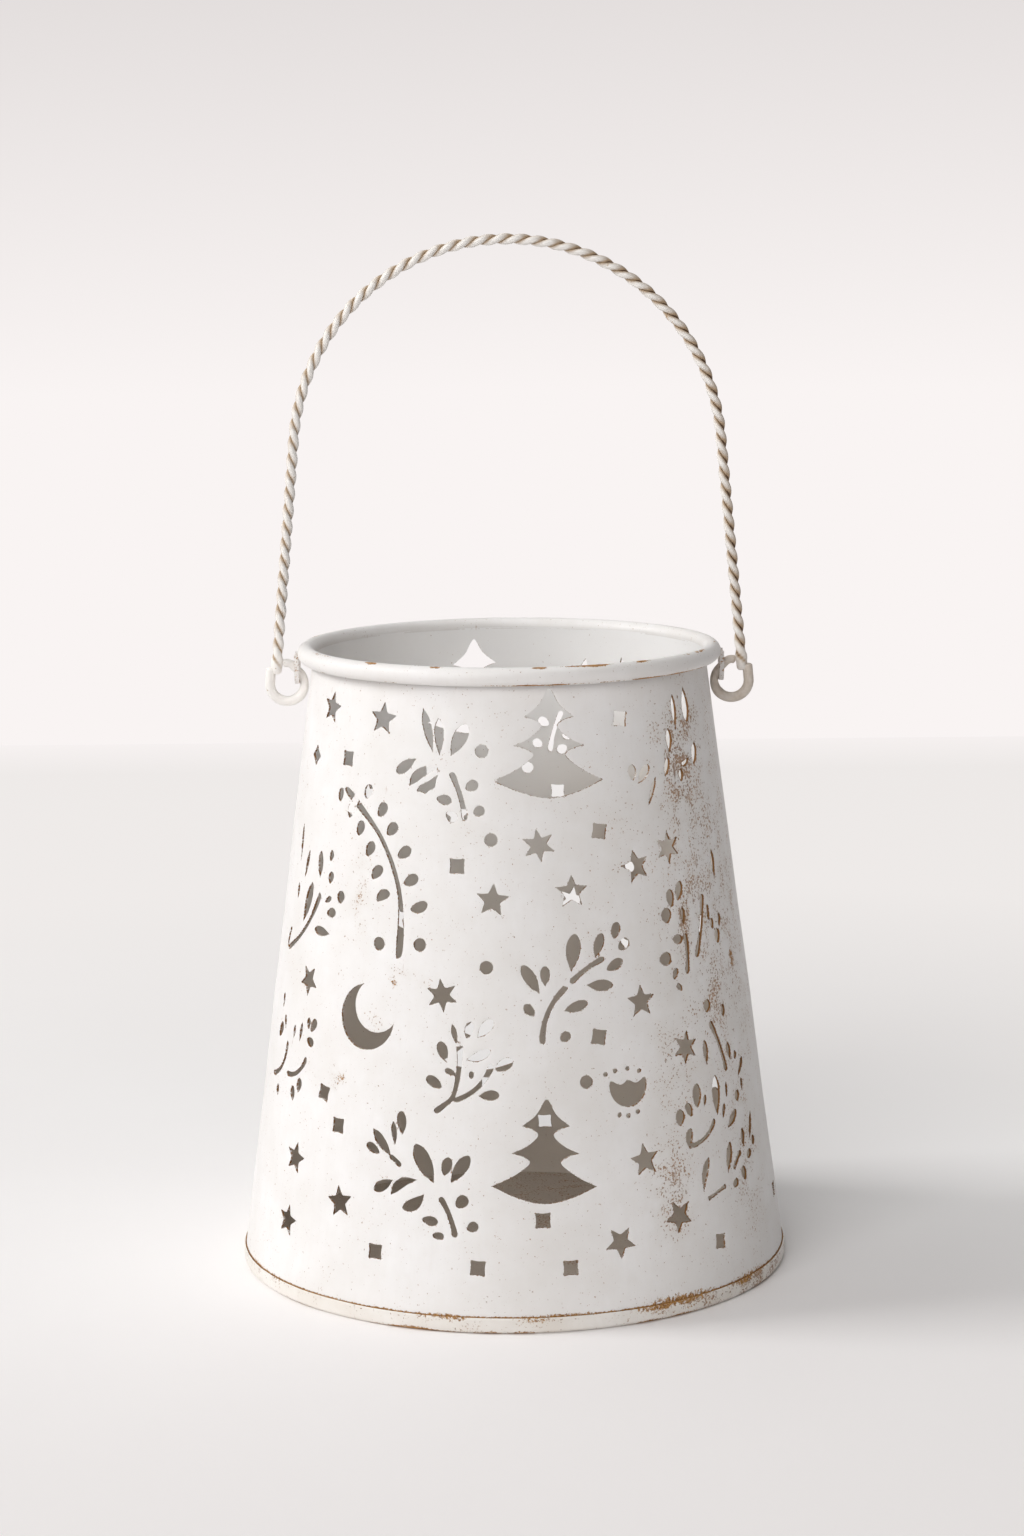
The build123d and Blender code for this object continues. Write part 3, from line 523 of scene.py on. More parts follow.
def sheet_plan():
    """Flat points of the unrolled sheet, its triangles, the hole of each point on a hole's edge, and how
    far each point is from the nearest hole."""
    outlines = [round_hole(loop) for loop in hole_loops()]
    rims = np.vstack(outlines)
    width = 2 * math.pi * MIDDLE_RADIUS
    columns = np.linspace(0, width, int(width / GRID_STEP) + 1)
    even = np.linspace(HEM_TOP, BEAD_HEIGHT, int(BEAD_HEIGHT / GRID_STEP))[1:]
    heights = np.concatenate([[SHEET], HEM_TOP + np.array(FOOT_ROWS), even])
    lattice = np.array([(x, z) for z in heights for x in columns])
    border = (lattice[:, 0] <= 0) | (lattice[:, 0] >= width - BORDER_SLACK)
    border |= (lattice[:, 1] <= HEM_TOP) | (lattice[:, 1] >= BEAD_HEIGHT - BORDER_SLACK)
    tree = kdtree.KDTree(len(rims))
    for at, (x, z) in enumerate(rims):
        tree.insert((x, z, 0), at)
    tree.balance()

    def room(point):
        return tree.find((point[0], point[1], 0))[2]

    spare = np.zeros(len(lattice), bool)
    rings = []
    for outline in outlines:
        low, high = outline.min(axis=0) - HOLE_MARGIN, outline.max(axis=0) + HOLE_MARGIN
        close = np.flatnonzero(((lattice > low) & (lattice < high)).all(axis=1))
        if len(close):
            spare[close] |= inside(outline, lattice[close])
        rings += [(distance, ring_outside(outline, distance)) for distance in EDGE_RINGS]
    free = [point for point, drop, edge in zip(lattice, spare, border)
            if edge or not drop and room(point) > GRID_CLEAR]
    for distance, ring in rings:
        free += [point for point in ring[::2] if room(point) > distance * RING_CLEAR]
    edges, owner, first = [], {}, 0
    for hole, outline in enumerate(outlines):
        count = len(outline)
        for step in range(count):
            edges.append((first + step, first + (step + 1) % count))
            owner[first + step] = hole
        first += count
    points = [Vector(point) for point in list(rims) + free]
    placed, _, cells, sources, *_ = delaunay_2d_cdt(points, edges, [], 0, MERGE)
    flat = np.array([tuple(point) for point in placed])
    hole_of = {at: owner[source[0]] for at, source in enumerate(sources)
               if source and source[0] in owner}
    triangles = []
    for face in cells:
        holes = {hole_of.get(at) for at in face}
        if len(holes) == 1 and None not in holes:
            centre = flat[list(face)].mean(axis=0)[None]
            if inside(outlines[holes.pop()], centre)[0]:
                continue
        triangles.append(tuple(face))
    return flat, triangles, hole_of, np.array([room(point) for point in flat])


def short_way(azimuth, place):
    """Angle in degrees from a place to an azimuth, the short way round."""
    return (azimuth - place + 180) % 360 - 180


def patches_at(azimuth, height, patches):
    """Greatest strength of soft round patches on the wall."""
    total = 0 * height
    for place, middle, spread, rise, strength in patches:
        away = short_way(np.degrees(azimuth), place)
        near = np.exp(-(away / spread) ** 2 - ((height / MM - middle) / rise) ** 2)
        total = np.maximum(total, strength * near)
    return total


def punched_sheet(material):
    """The tapered sheet: outer and inner face, the walls of every hole, soft dents and a pressed-in
    edge. An ochre stain lies in a line at the foot, creeps up here and there and has a few runs."""
    flat, triangles, hole_of, distance = sheet_plan()
    azimuth = flat[:, 0] / MIDDLE_RADIUS + SEAM_AZIMUTH
    height = flat[:, 1]
    dents = np.array([noise.noise((math.sin(a) * DENT_WAVES, math.cos(a) * DENT_WAVES, z * DENT_RISE))
                      for a, z in zip(azimuth, height)])
    calm = np.clip((BEAD_HEIGHT - height) / CALM_TOP, 0, 1)
    calm = calm * np.clip((height - HEM_TOP) / CALM_FOOT, 0, 1)
    radius = wall_radius(height) + dents * calm * DENT_DEPTH
    pressed = PRESS_DEPTH * np.exp(-distance / PRESS_REACH)
    sides = []
    for depth in (pressed, pressed + SHEET):
        reach = radius - depth
        sides.append(np.stack([reach * np.sin(azimuth), -reach * np.cos(azimuth), height], axis=1))
    count = len(flat)
    rims = sorted(hole_of)
    wall_at = {at: 2 * count + step for step, at in enumerate(rims)}
    points = np.vstack([sides[0], sides[1], sides[0][rims], sides[1][rims]])
    faces = list(triangles) + [tuple(at + count for at in face[::-1]) for face in triangles]
    directed = {(a, b) for face in triangles for a, b in zip(face, face[1:] + face[:1])}
    for a, b in sorted(directed):
        if (b, a) not in directed and a in wall_at and b in wall_at:
            faces.append((wall_at[b], wall_at[a], wall_at[a] + len(rims), wall_at[b] + len(rims)))
    edge = np.exp(-distance / EDGE_REACH) * FACE_EDGE
    rust = np.maximum(patches_at(azimuth, height, RUST_PATCHES), LEAST_RUST)
    foot = np.exp(-np.maximum(height - HEM_TOP, 0) / FOOT_LINE)
    ochre = np.maximum(foot, patches_at(azimuth, height, STAIN_PATCHES))
    # Painted shade on the inner wall, laid on as a share of the bare plate's darker colour
    grime_and_painted_shade = patches_at(azimuth, height, INNER_PAINTED_SHADE)
    cut = np.full(len(rims), CUT_EDGE)
    numbers = {
        "lining": np.concatenate([0 * radius, 0 * radius + 1, 0 * cut, 0 * cut]),
        "edge": np.concatenate([edge, edge, cut, cut]),
        "rust": np.concatenate([rust, rust * INNER_RUST, rust[rims], rust[rims]]),
        "bare": np.concatenate([0 * radius, grime_and_painted_shade, 0 * cut, 0 * cut]),
        "ochre": np.concatenate([ochre, ochre * 0, ochre[rims], ochre[rims]]),
    }
    return new_piece("punched_sheet", points, faces, material, numbers, sharp=SHEET_CREASE)


# Rings: the rolled rim and the pan are turned from a profile, with a slight hand-made wobble

ROUND_SEGMENTS = 240

# Waves round the ring, start of the noise and its drift from row to row, for sway, lift and wear
RING_NOISE = ((3, 0, 0.15), (7, 5, 0.15), (12, 20, 0.1))
LIFT_SHARE = 0.6
WEAR_SHARE = 0.8
MOST_WEAR = 1.15


def around_at(azimuth, patches):
    """Greatest strength of soft patches along a ring, each with azimuth, spread and strength."""
    return max((strength * math.exp(-(short_way(azimuth, place) / spread) ** 2)
                for place, spread, strength in patches), default=0.0)


def turned(name, profile, material, wear, wobble):
    """Ring turned from a profile of radius and height. The wear function takes a row, an azimuth in
    degrees and a patchy number about 1, and gives rust, ochre and bare plate."""
    points, worn = [], []
    for row, (radius, height) in enumerate(profile):
        for step in range(ROUND_SEGMENTS):
            turn = 2 * math.pi * step / ROUND_SEGMENTS
            around = Vector((math.sin(turn), math.cos(turn), 0))
            sway, lift, patchy = (noise.noise(around * waves + Vector((0, 0, start + row * drift)))
                                  for waves, start, drift in RING_NOISE)
            reach = radius + wobble * sway
            lifted = height + wobble * lift * LIFT_SHARE
            points.append((reach * math.sin(turn), -reach * math.cos(turn), lifted))
            worn.append(wear(row, math.degrees(turn), 1 + WEAR_SHARE * patchy))
    numbers = dict(zip(("rust", "ochre", "bare"), np.transpose(worn)))
    return new_piece(name, points, grid_faces(len(profile), ROUND_SEGMENTS), material, numbers)


# Bead: its curl, and where on the curl its crest and its underside lie, in degrees
BEAD_STEPS = 44
BEAD_START = 190
BEAD_SWEEP = 292
BEAD_WOBBLE = 0.06 * MM
BEAD_WEAR = 0.05
CREST_TURN, CREST_SPREAD = 74, 22
UNDER_TURN, UNDER_SPREAD = -60, 14
CREST_CHIPS = [
    (21, 7, 1.5), (-64, 6, 1.0), (-40, 3, 1.0), (-20, 2.5, 0.9), (8, 3, 1.0), (38, 4, 1.0),
    (62, 8, 1.05), (84, 6, 0.8), (140, 20, 0.72), (-150, 30, 0.68), (180, 12, 0.76), (-105, 10, 0.74),
]
UNDER_LINE = [
    (50, 38, 1.2), (10, 20, 1.15), (-34, 5, 0.72), (-62, 6, 0.76), (120, 30, 0.85), (-150, 30, 0.8),
]


def rim_bead(material):
    """Edge of the sheet curled outward into a bead, chipped along its crest and rusted along its
    underside."""
    turns = [BEAD_START - BEAD_SWEEP * step / BEAD_STEPS for step in range(BEAD_STEPS + 1)]
    profile = [(BEAD_CENTRE + BEAD_RADIUS * math.cos(turn), BEAD_HEIGHT + BEAD_RADIUS * math.sin(turn))
               for turn in map(math.radians, turns)]

    def wear(row, azimuth, patchy):
        crest = math.exp(-((turns[row] - CREST_TURN) / CREST_SPREAD) ** 2)
        under = math.exp(-((turns[row] - UNDER_TURN) / UNDER_SPREAD) ** 2)
        stain = max(crest * around_at(azimuth, CREST_CHIPS), under * around_at(azimuth, UNDER_LINE))
        return LEAST_RUST, stain * min(MOST_WEAR, patchy + BEAD_WEAR), 0

    return turned("rolled_rim", profile, material, wear, BEAD_WOBBLE)


# Seam: its section in half widths across, thicknesses proud of the wall and wear of the edge
SEAM_SECTION = [
    (-1.0, -0.2, 1.0), (-0.98, 0.75, 0.9), (-0.9, 1.0, 0.5), (-0.3, 1.06, 0.1),
    (0.3, 1.06, 0.1), (0.9, 1.0, 0.5), (0.98, 0.75, 0.9), (1.0, -0.2, 1.0),
]
SEAM_ROWS = 60
SEAM_START = 0.6 * MM
SEAM_RUST = 0.6
SEAM_EDGE = 0.6
SEAM_OCHRE = 0.5


def lap_seam(material):
    """Second layer of the sheet along the lapped seam, with softened long edges."""
    low, high = HEM_TOP + SEAM_START, BEAD_HEIGHT - BEAD_RADIUS + SHEET
    points, edge = [], []
    for row in range(SEAM_ROWS + 1):
        height = low + (high - low) * row / SEAM_ROWS
        for across, proud, worn in SEAM_SECTION:
            reach = wall_radius(height) + proud * SHEET
            turn = SEAM_AZIMUTH + across * SEAM_WIDTH / 2 / reach
            points.append((reach * math.sin(turn), -reach * math.cos(turn), height))
            edge.append(worn)
    edge = np.array(edge)
    rust = np.full(len(edge), SEAM_RUST)
    numbers = {"rust": rust, "edge": edge * SEAM_EDGE, "ochre": edge * SEAM_OCHRE}
    faces = grid_faces(SEAM_ROWS + 1, len(SEAM_SECTION), closed=False)
    return new_piece("lap_seam", points, faces, material, numbers)


# Pan: the rings of its disc, its rounded hem, and how far and how high the band of the hem swells
PAN_RINGS = (0.5 * MM, 20 * MM, 40 * MM)
PAN_EDGE = 2.4 * MM
PAN_CORNER = 0.6 * MM
PAN_WOBBLE = 0.07 * MM
HEM_STEPS = 10
HEM_CORNER = 1.0 * MM
HEM_CROWN = 0.62 * MM
HEM_BAND = ((0.05 * MM, 1.5 * MM), (0.03 * MM, 2.2 * MM))

# Wear of the pan: rust under it, on its band and inside, and stains along the hem
UNDER_RUST, BAND_RUST, INSIDE_RUST = 0.5, 0.3, 0.4
EDGE_STAIN, EDGE_FADE = 1.35, 0.1
BAND_STAIN = 0.75
PAN_WEAR = 0.1
CLEAN = []
LOWER_EDGE = [
    (-20, 13, 1.0), (-2, 10, 0.95), (32, 16, 1.0), (62, 10, 0.85), (-50, 8, 0.7), (150, 40, 0.8),
    (-130, 30, 0.75),
]
CROWN_STAIN = [
    (34, 14, 0.78), (56, 12, 0.74), (-14, 10, 0.66), (4, 8, 0.6), (-62, 10, 0.6), (160, 40, 0.66),
]
WHOLE_LINE = [(0, 1e6, 1.0)]
PAN_GRIME = [(58, 26, 1.0), (165, 40, 0.7), (-12, 10, 0.5)]


def crimped_pan(material):
    """Tin disc whose rim is turned up round the foot of the wall and pressed against it: a full white
    band with an ochre line along its top and brown patches along its lower edge."""
    bore = FOOT_RADIUS - SHEET
    half = (FOOT_RADIUS - WALL_FOOT) / 2
    corner = FOOT_RADIUS - HEM_CORNER
    crown = HEM_TOP - HEM_CROWN

    # Each row has a place, its rust, its stain, the strength of the stain and its bare plate
    rows = []
    for radius in PAN_RINGS + (FOOT_RADIUS - PAN_EDGE,):
        rows.append(((radius, 0), UNDER_RUST, CLEAN, 0.0, 0.0))
    for step in range(HEM_STEPS + 1):
        turn = math.radians(90 * step / HEM_STEPS - 90)
        place = (corner + HEM_CORNER * math.cos(turn), HEM_CORNER + HEM_CORNER * math.sin(turn))
        rows.append((place, BAND_RUST, LOWER_EDGE, EDGE_STAIN - EDGE_FADE * step, 0.0))
    for proud, height in HEM_BAND:
        rows.append(((FOOT_RADIUS + proud, height), BAND_RUST, CROWN_STAIN, BAND_STAIN, 0.0))
    for step in range(HEM_STEPS + 1):
        turn = math.radians(180 * step / HEM_STEPS)
        place = (FOOT_RADIUS - half + half * math.cos(turn), crown + HEM_CROWN * math.sin(turn))
        stain = WHOLE_LINE if step >= HEM_STEPS / 2 else CROWN_STAIN
        rows.append((place, INSIDE_RUST, stain, 1.0, 0.0))
    for radius in (bore, bore - PAN_CORNER) + PAN_RINGS[::-1]:
        rows.append(((radius, SHEET), INSIDE_RUST, CLEAN, 0.0, 1.0))

    def wear(row, azimuth, patchy):
        _, rust, stain, strength, bare = rows[row]
        ochre = strength * around_at(azimuth, stain) * min(MOST_WEAR, patchy + PAN_WEAR)
        return max(rust, around_at(azimuth, PAN_GRIME)), ochre, bare

    return turned("crimped_pan", [place for place, *_ in rows], material, wear, PAN_WOBBLE)


# Bail: two wires twisted together, a crimped sleeve at each end and an eye that hooks through the ear

def ferrule_ends(side):
    """Middle of the lower and upper end of a packed ferrule."""
    points = node_points("ferrule_" + side)
    split = (points[:, 2].min() + points[:, 2].max()) / 2
    return [Vector(points[keep].mean(axis=0)) for keep in (points[:, 2] < split, points[:, 2] > split)]


# Line of the bail: straight splayed legs and a round crown
SIDEWAYS = Vector((0, 1, 0))
APEX_REACH = 5 * MM
FERRULE_FOOT, FERRULE_TOP = ferrule_ends("right")
LEG_UP = (FERRULE_TOP - FERRULE_FOOT).normalized()
SPLAY = math.asin(-LEG_UP.x)
STRAND_POINTS = np.vstack([node_points("bail_strand_a"), node_points("bail_strand_b")])
BAIL_APEX = STRAND_POINTS[np.abs(STRAND_POINTS[:, 0]) < APEX_REACH][:, 2].mean()
CROWN_REACH = FERRULE_TOP.x * math.cos(SPLAY) + (FERRULE_TOP.z - BAIL_APEX) * math.sin(SPLAY)
CROWN_RADIUS = CROWN_REACH / (1 - math.sin(SPLAY))
CROWN_HEIGHT = BAIL_APEX - CROWN_RADIUS
LEG_LENGTH = (CROWN_HEIGHT + CROWN_RADIUS * math.sin(SPLAY) - FERRULE_TOP.z) / LEG_UP.z
BAIL_LENGTH = 2 * LEG_LENGTH + CROWN_RADIUS * (math.pi - 2 * SPLAY)

# Wire: its sides, and how far past the end in radii and how wide the rings of its rounded end are
WIRE_SIDES = 20
WIRE_END = [(0.5, 0.05), (0.42, 0.45), (0.28, 0.75), (0.1, 0.94)]

# Twisted strands: how they lie, how much and how slowly the lay varies, and the painted shade of their
# outer side
STRAND_RADIUS = 0.76 * MM
STRAND_LAY = 0.46 * MM
STRAND_TUCK = 3.2 * MM
BAIL_TURNS = 31
TURN_STEPS = 24
LAY_PLAY = 0.05
LAY_WAVES = 0.2
PRESS_GAP = 0.01 * MM
OUTER_PAINTED_SHADE = 0.4
RIDGE = STRAND_LAY + STRAND_RADIUS
VALLEY = math.sqrt(STRAND_RADIUS**2 - STRAND_LAY**2)

# Eye: a ring, a short hook and a bent tip, with a coat of paint that thins out near the hook
EYE_RADIUS = 3.75 * MM
EYE_WIRE = 0.9 * MM
EYE_WALL_GAP = 0.3 * MM
EYE_STEPS = 48
EYE_NECK = (1.25, 0.8, 0.4)
# Painted shade on each eye as a share of tan: little on the left, more on the right eye on the shaded side
EYE_PAINTED_SHADE = {"left": 0.04, "right": 0.28}
HOOK_ANGLE = math.radians(135)
HINGE_ABOVE_HOOK = 0.25 * MM
HOOK_RUN = 2.0 * MM
HOOK_SHARES = (0.35, 0.7)
TIP_RADIUS = 1.8 * MM
TIP_TURN = math.radians(60)
TIP_STEPS = 8
COAT = 0.22
COAT_THIN = 22
COAT_FADE = 8

# Ferrule: its profile in shares of length and width, the lobes that the twist leaves and their shade
FERRULE_RADIUS = 1.3 * MM
FERRULE_SIDES = 32
FERRULE_FIT = 0.94
FERRULE_PROFILE = [
    (-0.05, 0.55), (-0.02, 0.8), (0.03, 0.95), (0.1, 1.0), (0.2, 1.0), (0.3, 0.99), (0.4, 0.98),
    (0.5, 0.97), (0.6, 0.95), (0.7, 0.92), (0.78, 0.88), (0.84, 0.8), (0.88, 0.6),
]
LOBE = 0.15
LOBE_FULL = 0.5
LOBE_SHADE = 5.5
FERRULE_SHADE = 0.1

# Ear: its section in half widths along, thicknesses proud and wear of the edge
EAR_SECTION = [
    (-1.0, 0.12, 0.75), (-0.8, 0.0, 0.35), (0.8, 0.0, 0.35), (1.0, 0.12, 0.75),
    (1.0, 0.88, 0.75), (0.8, 1.0, 0.35), (-0.8, 1.0, 0.35), (-1.0, 0.88, 0.75),
]
EAR_STEPS = 24
EAR_RUST = 0.5
EAR_OCHRE = 0.55


def bail_place(travel):
    """Middle of the bail and its outward direction after a travel from the right ferrule."""
    if travel > BAIL_LENGTH / 2:
        point, outward = bail_place(BAIL_LENGTH - travel)
        return Vector((-point.x, 0, point.z)), Vector((-outward.x, 0, outward.z))
    turn = SPLAY + max(travel - LEG_LENGTH, 0) / CROWN_RADIUS
    outward = Vector((math.cos(turn), 0, math.sin(turn)))
    middle = Vector((0, 0, CROWN_HEIGHT)) + outward * CROWN_RADIUS
    return middle - LEG_UP * max(LEG_LENGTH - travel, 0), outward


def wire(name, path, radius, material, finish):
    """Round wire along a path with rounded ends. The finish function takes the place of a point and the
    row it is in, and gives the place it is pressed to and its share of groove and painted shade."""
    path = [Vector(point) for point in path]
    ways = [(b - a).normalized() for a, b in zip(path, path[1:])]
    tangents = [ways[0]] + [(a + b).normalized() for a, b in zip(ways, ways[1:])] + [ways[-1]]
    across = tangents[0].orthogonal().normalized()
    rows = []
    for row, (point, tangent) in enumerate(zip(path, tangents)):
        across = (across - tangent * across.dot(tangent)).normalized()
        rows.append((row, point, tangent, across, 1.0))

    def rounded(end, way):
        row, point, tangent, across, _ = end
        return [(row, point + tangent * radius * out * way, tangent, across, share)
                for out, share in WIRE_END]

    rows = rounded(rows[0], -1) + rows + rounded(rows[-1], 1)[::-1]
    points, shade = [], []
    for row, point, tangent, across, share in rows:
        up = tangent.cross(across)
        for side in range(WIRE_SIDES):
            turn = 2 * math.pi * side / WIRE_SIDES
            spread = (across * math.cos(turn) + up * math.sin(turn)) * radius * share
            place, groove = finish(point + spread, row)
            points.append(place)
            shade.append(groove)
    return new_piece(name, points, grid_faces(len(rows), WIRE_SIDES), material, {"groove": shade})


def lay_turn(travel):
    """How far the pair of wires has turned after a travel from the right ferrule."""
    return -2 * math.pi * BAIL_TURNS * travel / BAIL_LENGTH


def bail_strand(name, phase, material):
    """One of the two twisted wires, pressed flat against the other and tucked a little way into the
    ferrules."""
    steps = BAIL_TURNS * TURN_STEPS
    path, middles, facing, outwards = [], [], [], []
    for step in range(steps + 1):
        travel = -STRAND_TUCK + (BAIL_LENGTH + 2 * STRAND_TUCK) * step / steps
        point, outward = bail_place(travel)
        turn = phase + lay_turn(travel)
        away = outward * math.cos(turn) + SIDEWAYS * math.sin(turn)
        lay = STRAND_LAY * (1 + LAY_PLAY * noise.noise((travel / MM * LAY_WAVES, phase, 0)))
        path.append(point + away * lay)
        middles.append(point)
        facing.append(away)
        outwards.append(outward)

    def press(place, row):
        depth = (place - middles[row]).dot(facing[row])
        if depth < PRESS_GAP:
            place = place + facing[row] * (PRESS_GAP - depth)
        spread = place - middles[row]
        # Share of groove, plus painted shade on the strand's outer side
        groove = max(0.0, RIDGE - spread.length) / (RIDGE - VALLEY)
        return place, groove + OUTER_PAINTED_SHADE * max(0.0, spread.dot(outwards[row]) / RIDGE)

    return wire(name, path, STRAND_RADIUS, material, press)


def eye_path():
    """Middle line of the right eye, from the ferrule round the ring to the hook's tip."""
    height = HINGE_HEIGHT - HINGE_ABOVE_HOOK - EYE_RADIUS * math.sin(HOOK_ANGLE)
    centre = Vector((wall_radius(height) + EYE_WALL_GAP + EYE_WIRE + EYE_RADIUS, 0, height))

    def around(middle, radius, turn):
        return middle + Vector((math.cos(turn), 0, math.sin(turn))) * radius

    ring_start = around(centre, EYE_RADIUS, SPLAY)
    rise = (FERRULE_FOOT - ring_start).dot(LEG_UP)
    path = [ring_start + LEG_UP * rise * share for share in EYE_NECK]
    sweep = 2 * math.pi - HOOK_ANGLE + SPLAY
    path += [around(centre, EYE_RADIUS, SPLAY - sweep * step / EYE_STEPS)
             for step in range(EYE_STEPS + 1)]
    ahead = Vector((math.sin(HOOK_ANGLE), 0, -math.cos(HOOK_ANGLE)))
    hook_start = path[-1]
    path += [hook_start + ahead * HOOK_RUN * share for share in HOOK_SHARES]
    tip_centre = around(hook_start + ahead * HOOK_RUN, TIP_RADIUS, HOOK_ANGLE - math.pi)
    path += [around(tip_centre, TIP_RADIUS, HOOK_ANGLE - TIP_TURN * step / TIP_STEPS)
             for step in range(TIP_STEPS + 1)]
    return path


def full_ring(path, wear):
    """Finish of an eye: the paint lies thick on the ring and thins out towards the hook, and the whole eye
    gets one share of painted shade.
    """
    def coat(place, row):
        middle = Vector(path[row])
        thick = min(1.0, max(0.0, (len(path) - COAT_THIN - row) / COAT_FADE))
        return middle + (place - middle) * (1 + COAT * thick), wear

    return coat


def ferrule(name, mirror, material):
    """Sleeve pressed over the ends of the wires and filled with paint: round at its foot, and higher up
    pressed into the twist of the two wires so that they seem to grow out of it."""
    length = (FERRULE_TOP - FERRULE_FOOT).length
    outward = Vector((math.cos(SPLAY), 0, math.sin(SPLAY)))
    points, shade = [], []
    for share, size in FERRULE_PROFILE:
        twist = mirror * lay_turn(-(1 - share) * length)
        lobe = LOBE * min(1.0, max(0.0, share / LOBE_FULL))
        for side in range(FERRULE_SIDES):
            turn = 2 * math.pi * side / FERRULE_SIDES
            ridge = math.cos(2 * (turn - twist))
            spread = outward * math.cos(turn) + SIDEWAYS * math.sin(turn)
            spread = spread * FERRULE_RADIUS * FERRULE_FIT * size * (1 + lobe * ridge)
            place = FERRULE_FOOT + LEG_UP * length * share + spread
            points.append((place.x * mirror, place.y, place.z))
            shade.append(FERRULE_SHADE + LOBE_SHADE * lobe * max(0.0, -ridge) ** 2)
    faces = grid_faces(len(FERRULE_PROFILE), FERRULE_SIDES)
    return new_piece(name, points, faces, material, {"groove": shade})


def ear_strap(name, mirror, material):
    """Narrow tin strap bent into a U, its ends tucked up behind the bead."""
    low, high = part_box("ear_right")
    middle = (low.x + high.x) / 2
    bore = (high.y - low.y) / 2 - SHEET
    half = (high.x - low.x) / 2
    rise = high.z - HINGE_HEIGHT
    line = [(1, 0, rise)]
    for step in range(EAR_STEPS + 1):
        turn = -math.pi * step / EAR_STEPS
        line.append((math.cos(turn), math.sin(turn), 0))
    line.append((-1, 0, rise))
    points, edge = [], []
    for across, down, lift in line:
        for along, proud, worn in EAR_SECTION:
            reach = bore + proud * SHEET
            height = HINGE_HEIGHT + down * reach + lift
            points.append(((middle + along * half) * mirror, across * reach, height))
            edge.append(worn)
    numbers = {"edge": edge, "rust": [EAR_RUST] * len(edge), "ochre": [EAR_OCHRE] * len(edge)}
    return new_piece(name, points, grid_faces(len(line), len(EAR_SECTION)), material, numbers)


tin = weathered_paint("chalk_painted_tinplate", "#f2f0ef", "#eae7e4")
pan_tin = weathered_paint("rust_lipped_tinplate", "#f1eeea", "#e6e0d8")
wire_paint = painted_wire()

settle(punched_sheet(tin), "lantern", "painted_tin", "punched_body")
settle(rim_bead(tin), "lantern", "painted_tin")
settle(lap_seam(tin), "lantern", "painted_tin")
settle(crimped_pan(pan_tin), "lantern", "painted_pan", "base_pan")
for side, mirror in (("right", 1), ("left", -1)):
    settle(ear_strap("ear_strap_" + side, mirror, tin), "lantern", "painted_tin", "ear_" + side)
    sleeve = ferrule("crimped_ferrule_" + side, mirror, wire_paint)
    settle(sleeve, "bail", "painted_wire", "ferrule_" + side)
    path = [(point.x * mirror, point.y, point.z) for point in eye_path()]
    eye = wire("wire_eye_" + side, path, EYE_WIRE, wire_paint, full_ring(path, EYE_PAINTED_SHADE[side]))
    settle(eye, "bail", "painted_wire", "bail_eye_" + side)
settle(bail_strand("twisted_wire_a", 0, wire_paint), "bail", "painted_wire", "bail_strand_a")
settle(bail_strand("twisted_wire_b", math.pi, wire_paint), "bail", "painted_wire", "bail_strand_b")


# Camera, floor and light

CAMERA_PLACE = Vector((0, -0.7285, 0.2266))
CAMERA_PITCH = math.radians(9.22)
CAMERA_YAW = math.radians(0.032)
CAMERA_ROLL = math.radians(-0.510)
CAMERA_LENS = 79.34
CAMERA_SENSOR = 36.0
FLOOR_REACH = 3.0
FLOOR_ROWS = (-FLOOR_REACH, -0.4, 0.3, 0.742)
FLOOR_COLUMNS = 13
FLOOR_ROUGHNESS = 0.85
AIR_LIGHT = 0.18

# Soft lamps: name, place, the point it looks at, width in metres and power in watts
LAMPS = (
    ("window_left", (-1.75, 0.0, 1.28), (0, 0, 0.07), 0.72, 21.5),
    ("front_fill", (-0.9, -2.1, 1.3), (0, 0, 0.07), 1.6, 31.5),
    ("ceiling_bounce", (-0.2, 0.3, 1.9), (0, 0, 0), 1.4, 8),
)


def photo_camera():
    """Camera at the photograph's viewing angle."""
    data = bpy.data.cameras.new("photo_camera")
    data.sensor_fit = "VERTICAL"
    data.sensor_height = CAMERA_SENSOR
    data.lens = CAMERA_LENS
    ahead = Vector((math.sin(CAMERA_YAW) * math.cos(CAMERA_PITCH),
                    math.cos(CAMERA_YAW) * math.cos(CAMERA_PITCH),
                    -math.sin(CAMERA_PITCH)))
    level = Vector((math.cos(CAMERA_YAW), -math.sin(CAMERA_YAW), 0))
    up = level.cross(ahead)
    right = level * math.cos(CAMERA_ROLL) + up * math.sin(CAMERA_ROLL)
    up = up * math.cos(CAMERA_ROLL) - level * math.sin(CAMERA_ROLL)
    facing = Matrix((right, up, -ahead)).transposed().to_4x4()
    camera = bpy.data.objects.new("photo_camera", data)
    camera.matrix_world = Matrix.Translation(CAMERA_PLACE) @ facing
    bpy.context.scene.collection.objects.link(camera)
    bpy.context.scene.camera = camera


def looked_at(tree):
    """1 where the camera, a reflection or a ray through a clear piece looks at a surface, 0 where light
    bounces."""
    camera_ray, glossy_ray, through_ray = (
        add(tree, "ShaderNodeLightPath", {}, ray)
        for ray in ("Is Camera Ray", "Is Glossy Ray", "Is Transmission Ray"))
    seen = add(tree, "ShaderNodeMath", {0: camera_ray, 1: glossy_ray}, operation="MAXIMUM")
    return add(tree, "ShaderNodeMath", {0: seen, 1: through_ray}, operation="MAXIMUM")


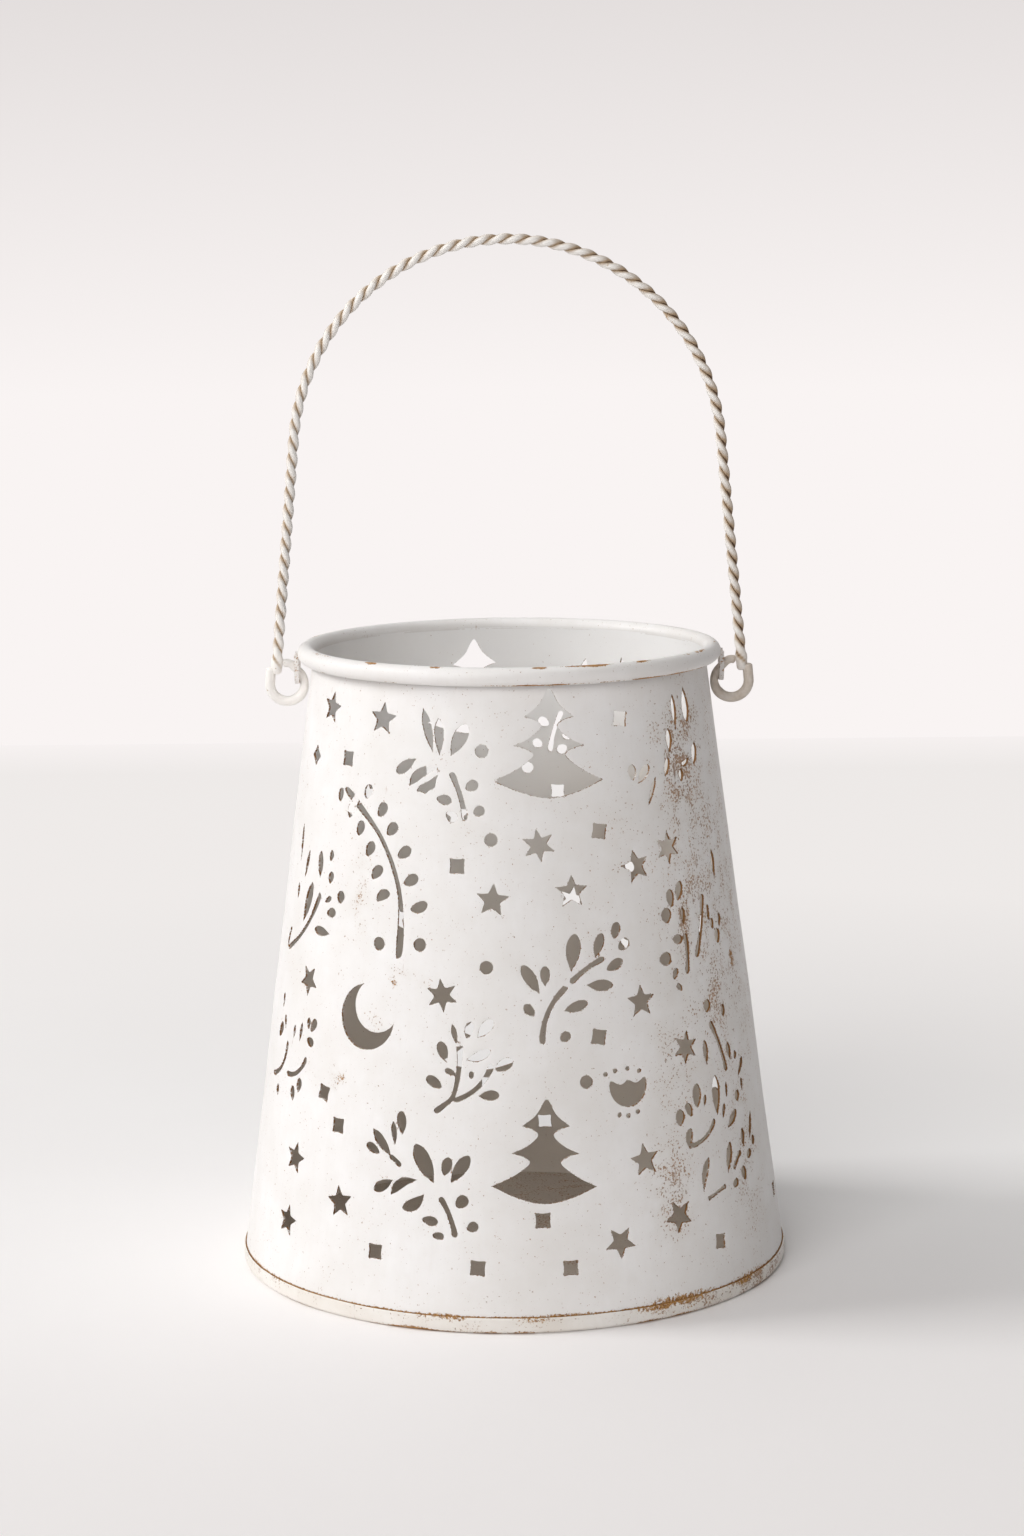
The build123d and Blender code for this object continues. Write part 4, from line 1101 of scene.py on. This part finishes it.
def studio_floor():
    """Pale matt table top that keeps the lantern's shadow and is painted darker towards the front as
    painted shade. Further away, camera and reflection rays see it glow pale as painted light, fading into
    the pale backdrop."""
    material, tree, shader, place = start_material("matt_paper_floor")
    fibre = add(tree, "ShaderNodeTexNoise", {"Vector": place, "Scale": 1 / 180, "Detail": 3})
    cloudy = add(tree, "ShaderNodeMapRange", {"Value": fibre, "From Min": 0.4, "From Max": 0.7})
    depth = add(tree, "ShaderNodeSeparateXYZ", {0: place}, "Y")
    # Painted shade: the floor's colour is darker towards the front
    near = add(tree, "ShaderNodeMapRange", {"Value": depth, "From Min": 40, "From Max": -170})
    tone = add(tree, "ShaderNodeMix", {SHARE: cloudy, UNDER: "#fdfbfa", OVER: "#faf7f6"}, **BLEND)
    tone = add(tree, "ShaderNodeMix", {SHARE: near, UNDER: tone, OVER: "#f3efee"}, **BLEND)
    tree.links.new(tone, shader.inputs["Base Color"])
    shader.inputs["Roughness"].default_value = FLOOR_ROUGHNESS
    # Painted light: away from the lantern, camera and reflection rays see the floor glow pale instead of
    # lit
    away = add(tree, "ShaderNodeVectorMath", {0: place}, "Value", operation="LENGTH")
    faded = add(tree, "ShaderNodeMapRange",
                {"Value": away, "From Min": 100, "From Max": 420, "To Max": 0.9})
    faded = add(tree, "ShaderNodeMath", {0: faded, 1: looked_at(tree)}, operation="MULTIPLY")
    horizon = add(tree, "ShaderNodeMapRange", {"Value": depth, "From Min": 660, "From Max": 740})
    pale = add(tree, "ShaderNodeMix", {SHARE: horizon, UNDER: "#f0ecea", OVER: "#f9f4f3"}, **BLEND)
    backdrop = add(tree, "ShaderNodeEmission", {"Color": pale, "Strength": 1.0})
    mixed = add(tree, "ShaderNodeMixShader", {0: faded, 1: shader.outputs[0], 2: backdrop})
    tree.links.new(mixed, tree.nodes["Material Output"].inputs["Surface"])
    columns = np.linspace(-FLOOR_REACH, FLOOR_REACH, FLOOR_COLUMNS)
    points = [(x, y, 0) for y in FLOOR_ROWS for x in columns]
    faces = grid_faces(len(FLOOR_ROWS), FLOOR_COLUMNS, closed=False)
    floor = new_piece("paper_floor", points, faces, material)


def studio_air():
    """Even pale light from all sides. The camera and reflections see a pale backdrop that grows darker
    upward."""
    world = bpy.data.worlds.new("studio_air")
    world.use_nodes = True
    tree = world.node_tree
    upward = add(tree, "ShaderNodeTexCoord", {}, "Generated")
    upward = add(tree, "ShaderNodeSeparateXYZ", {0: upward}, "Z")
    high = add(tree, "ShaderNodeMapRange", {"Value": upward, "From Min": -0.05, "From Max": 0.1})
    tone = add(tree, "ShaderNodeMix", {SHARE: high, UNDER: "#f9f4f3", OVER: "#dcd7d6"}, **BLEND)
    backdrop = add(tree, "ShaderNodeBackground", {"Color": tone, "Strength": 1.0})
    light = add(tree, "ShaderNodeBackground", {"Color": "#f6f5f4", "Strength": AIR_LIGHT})
    mixed = add(tree, "ShaderNodeMixShader", {0: looked_at(tree), 1: light, 2: backdrop})
    tree.links.new(mixed, tree.nodes["World Output"].inputs["Surface"])
    bpy.context.scene.world = world


def soft_lamp(name, place, aim, width, power):
    """Square soft lamp that looks at a point."""
    data = bpy.data.lights.new(name, "AREA")
    data.size = width
    data.energy = power
    facing = (Vector(aim) - Vector(place)).to_track_quat("-Z", "Y").to_matrix().to_4x4()
    lamp = bpy.data.objects.new(name, data)
    lamp.matrix_world = Matrix.Translation(place) @ facing
    bpy.context.scene.collection.objects.link(lamp)


photo_camera()
studio_floor()
studio_air()
for lamp in LAMPS:
    soft_lamp(*lamp)
bpy.context.scene.view_settings.view_transform = "Standard"
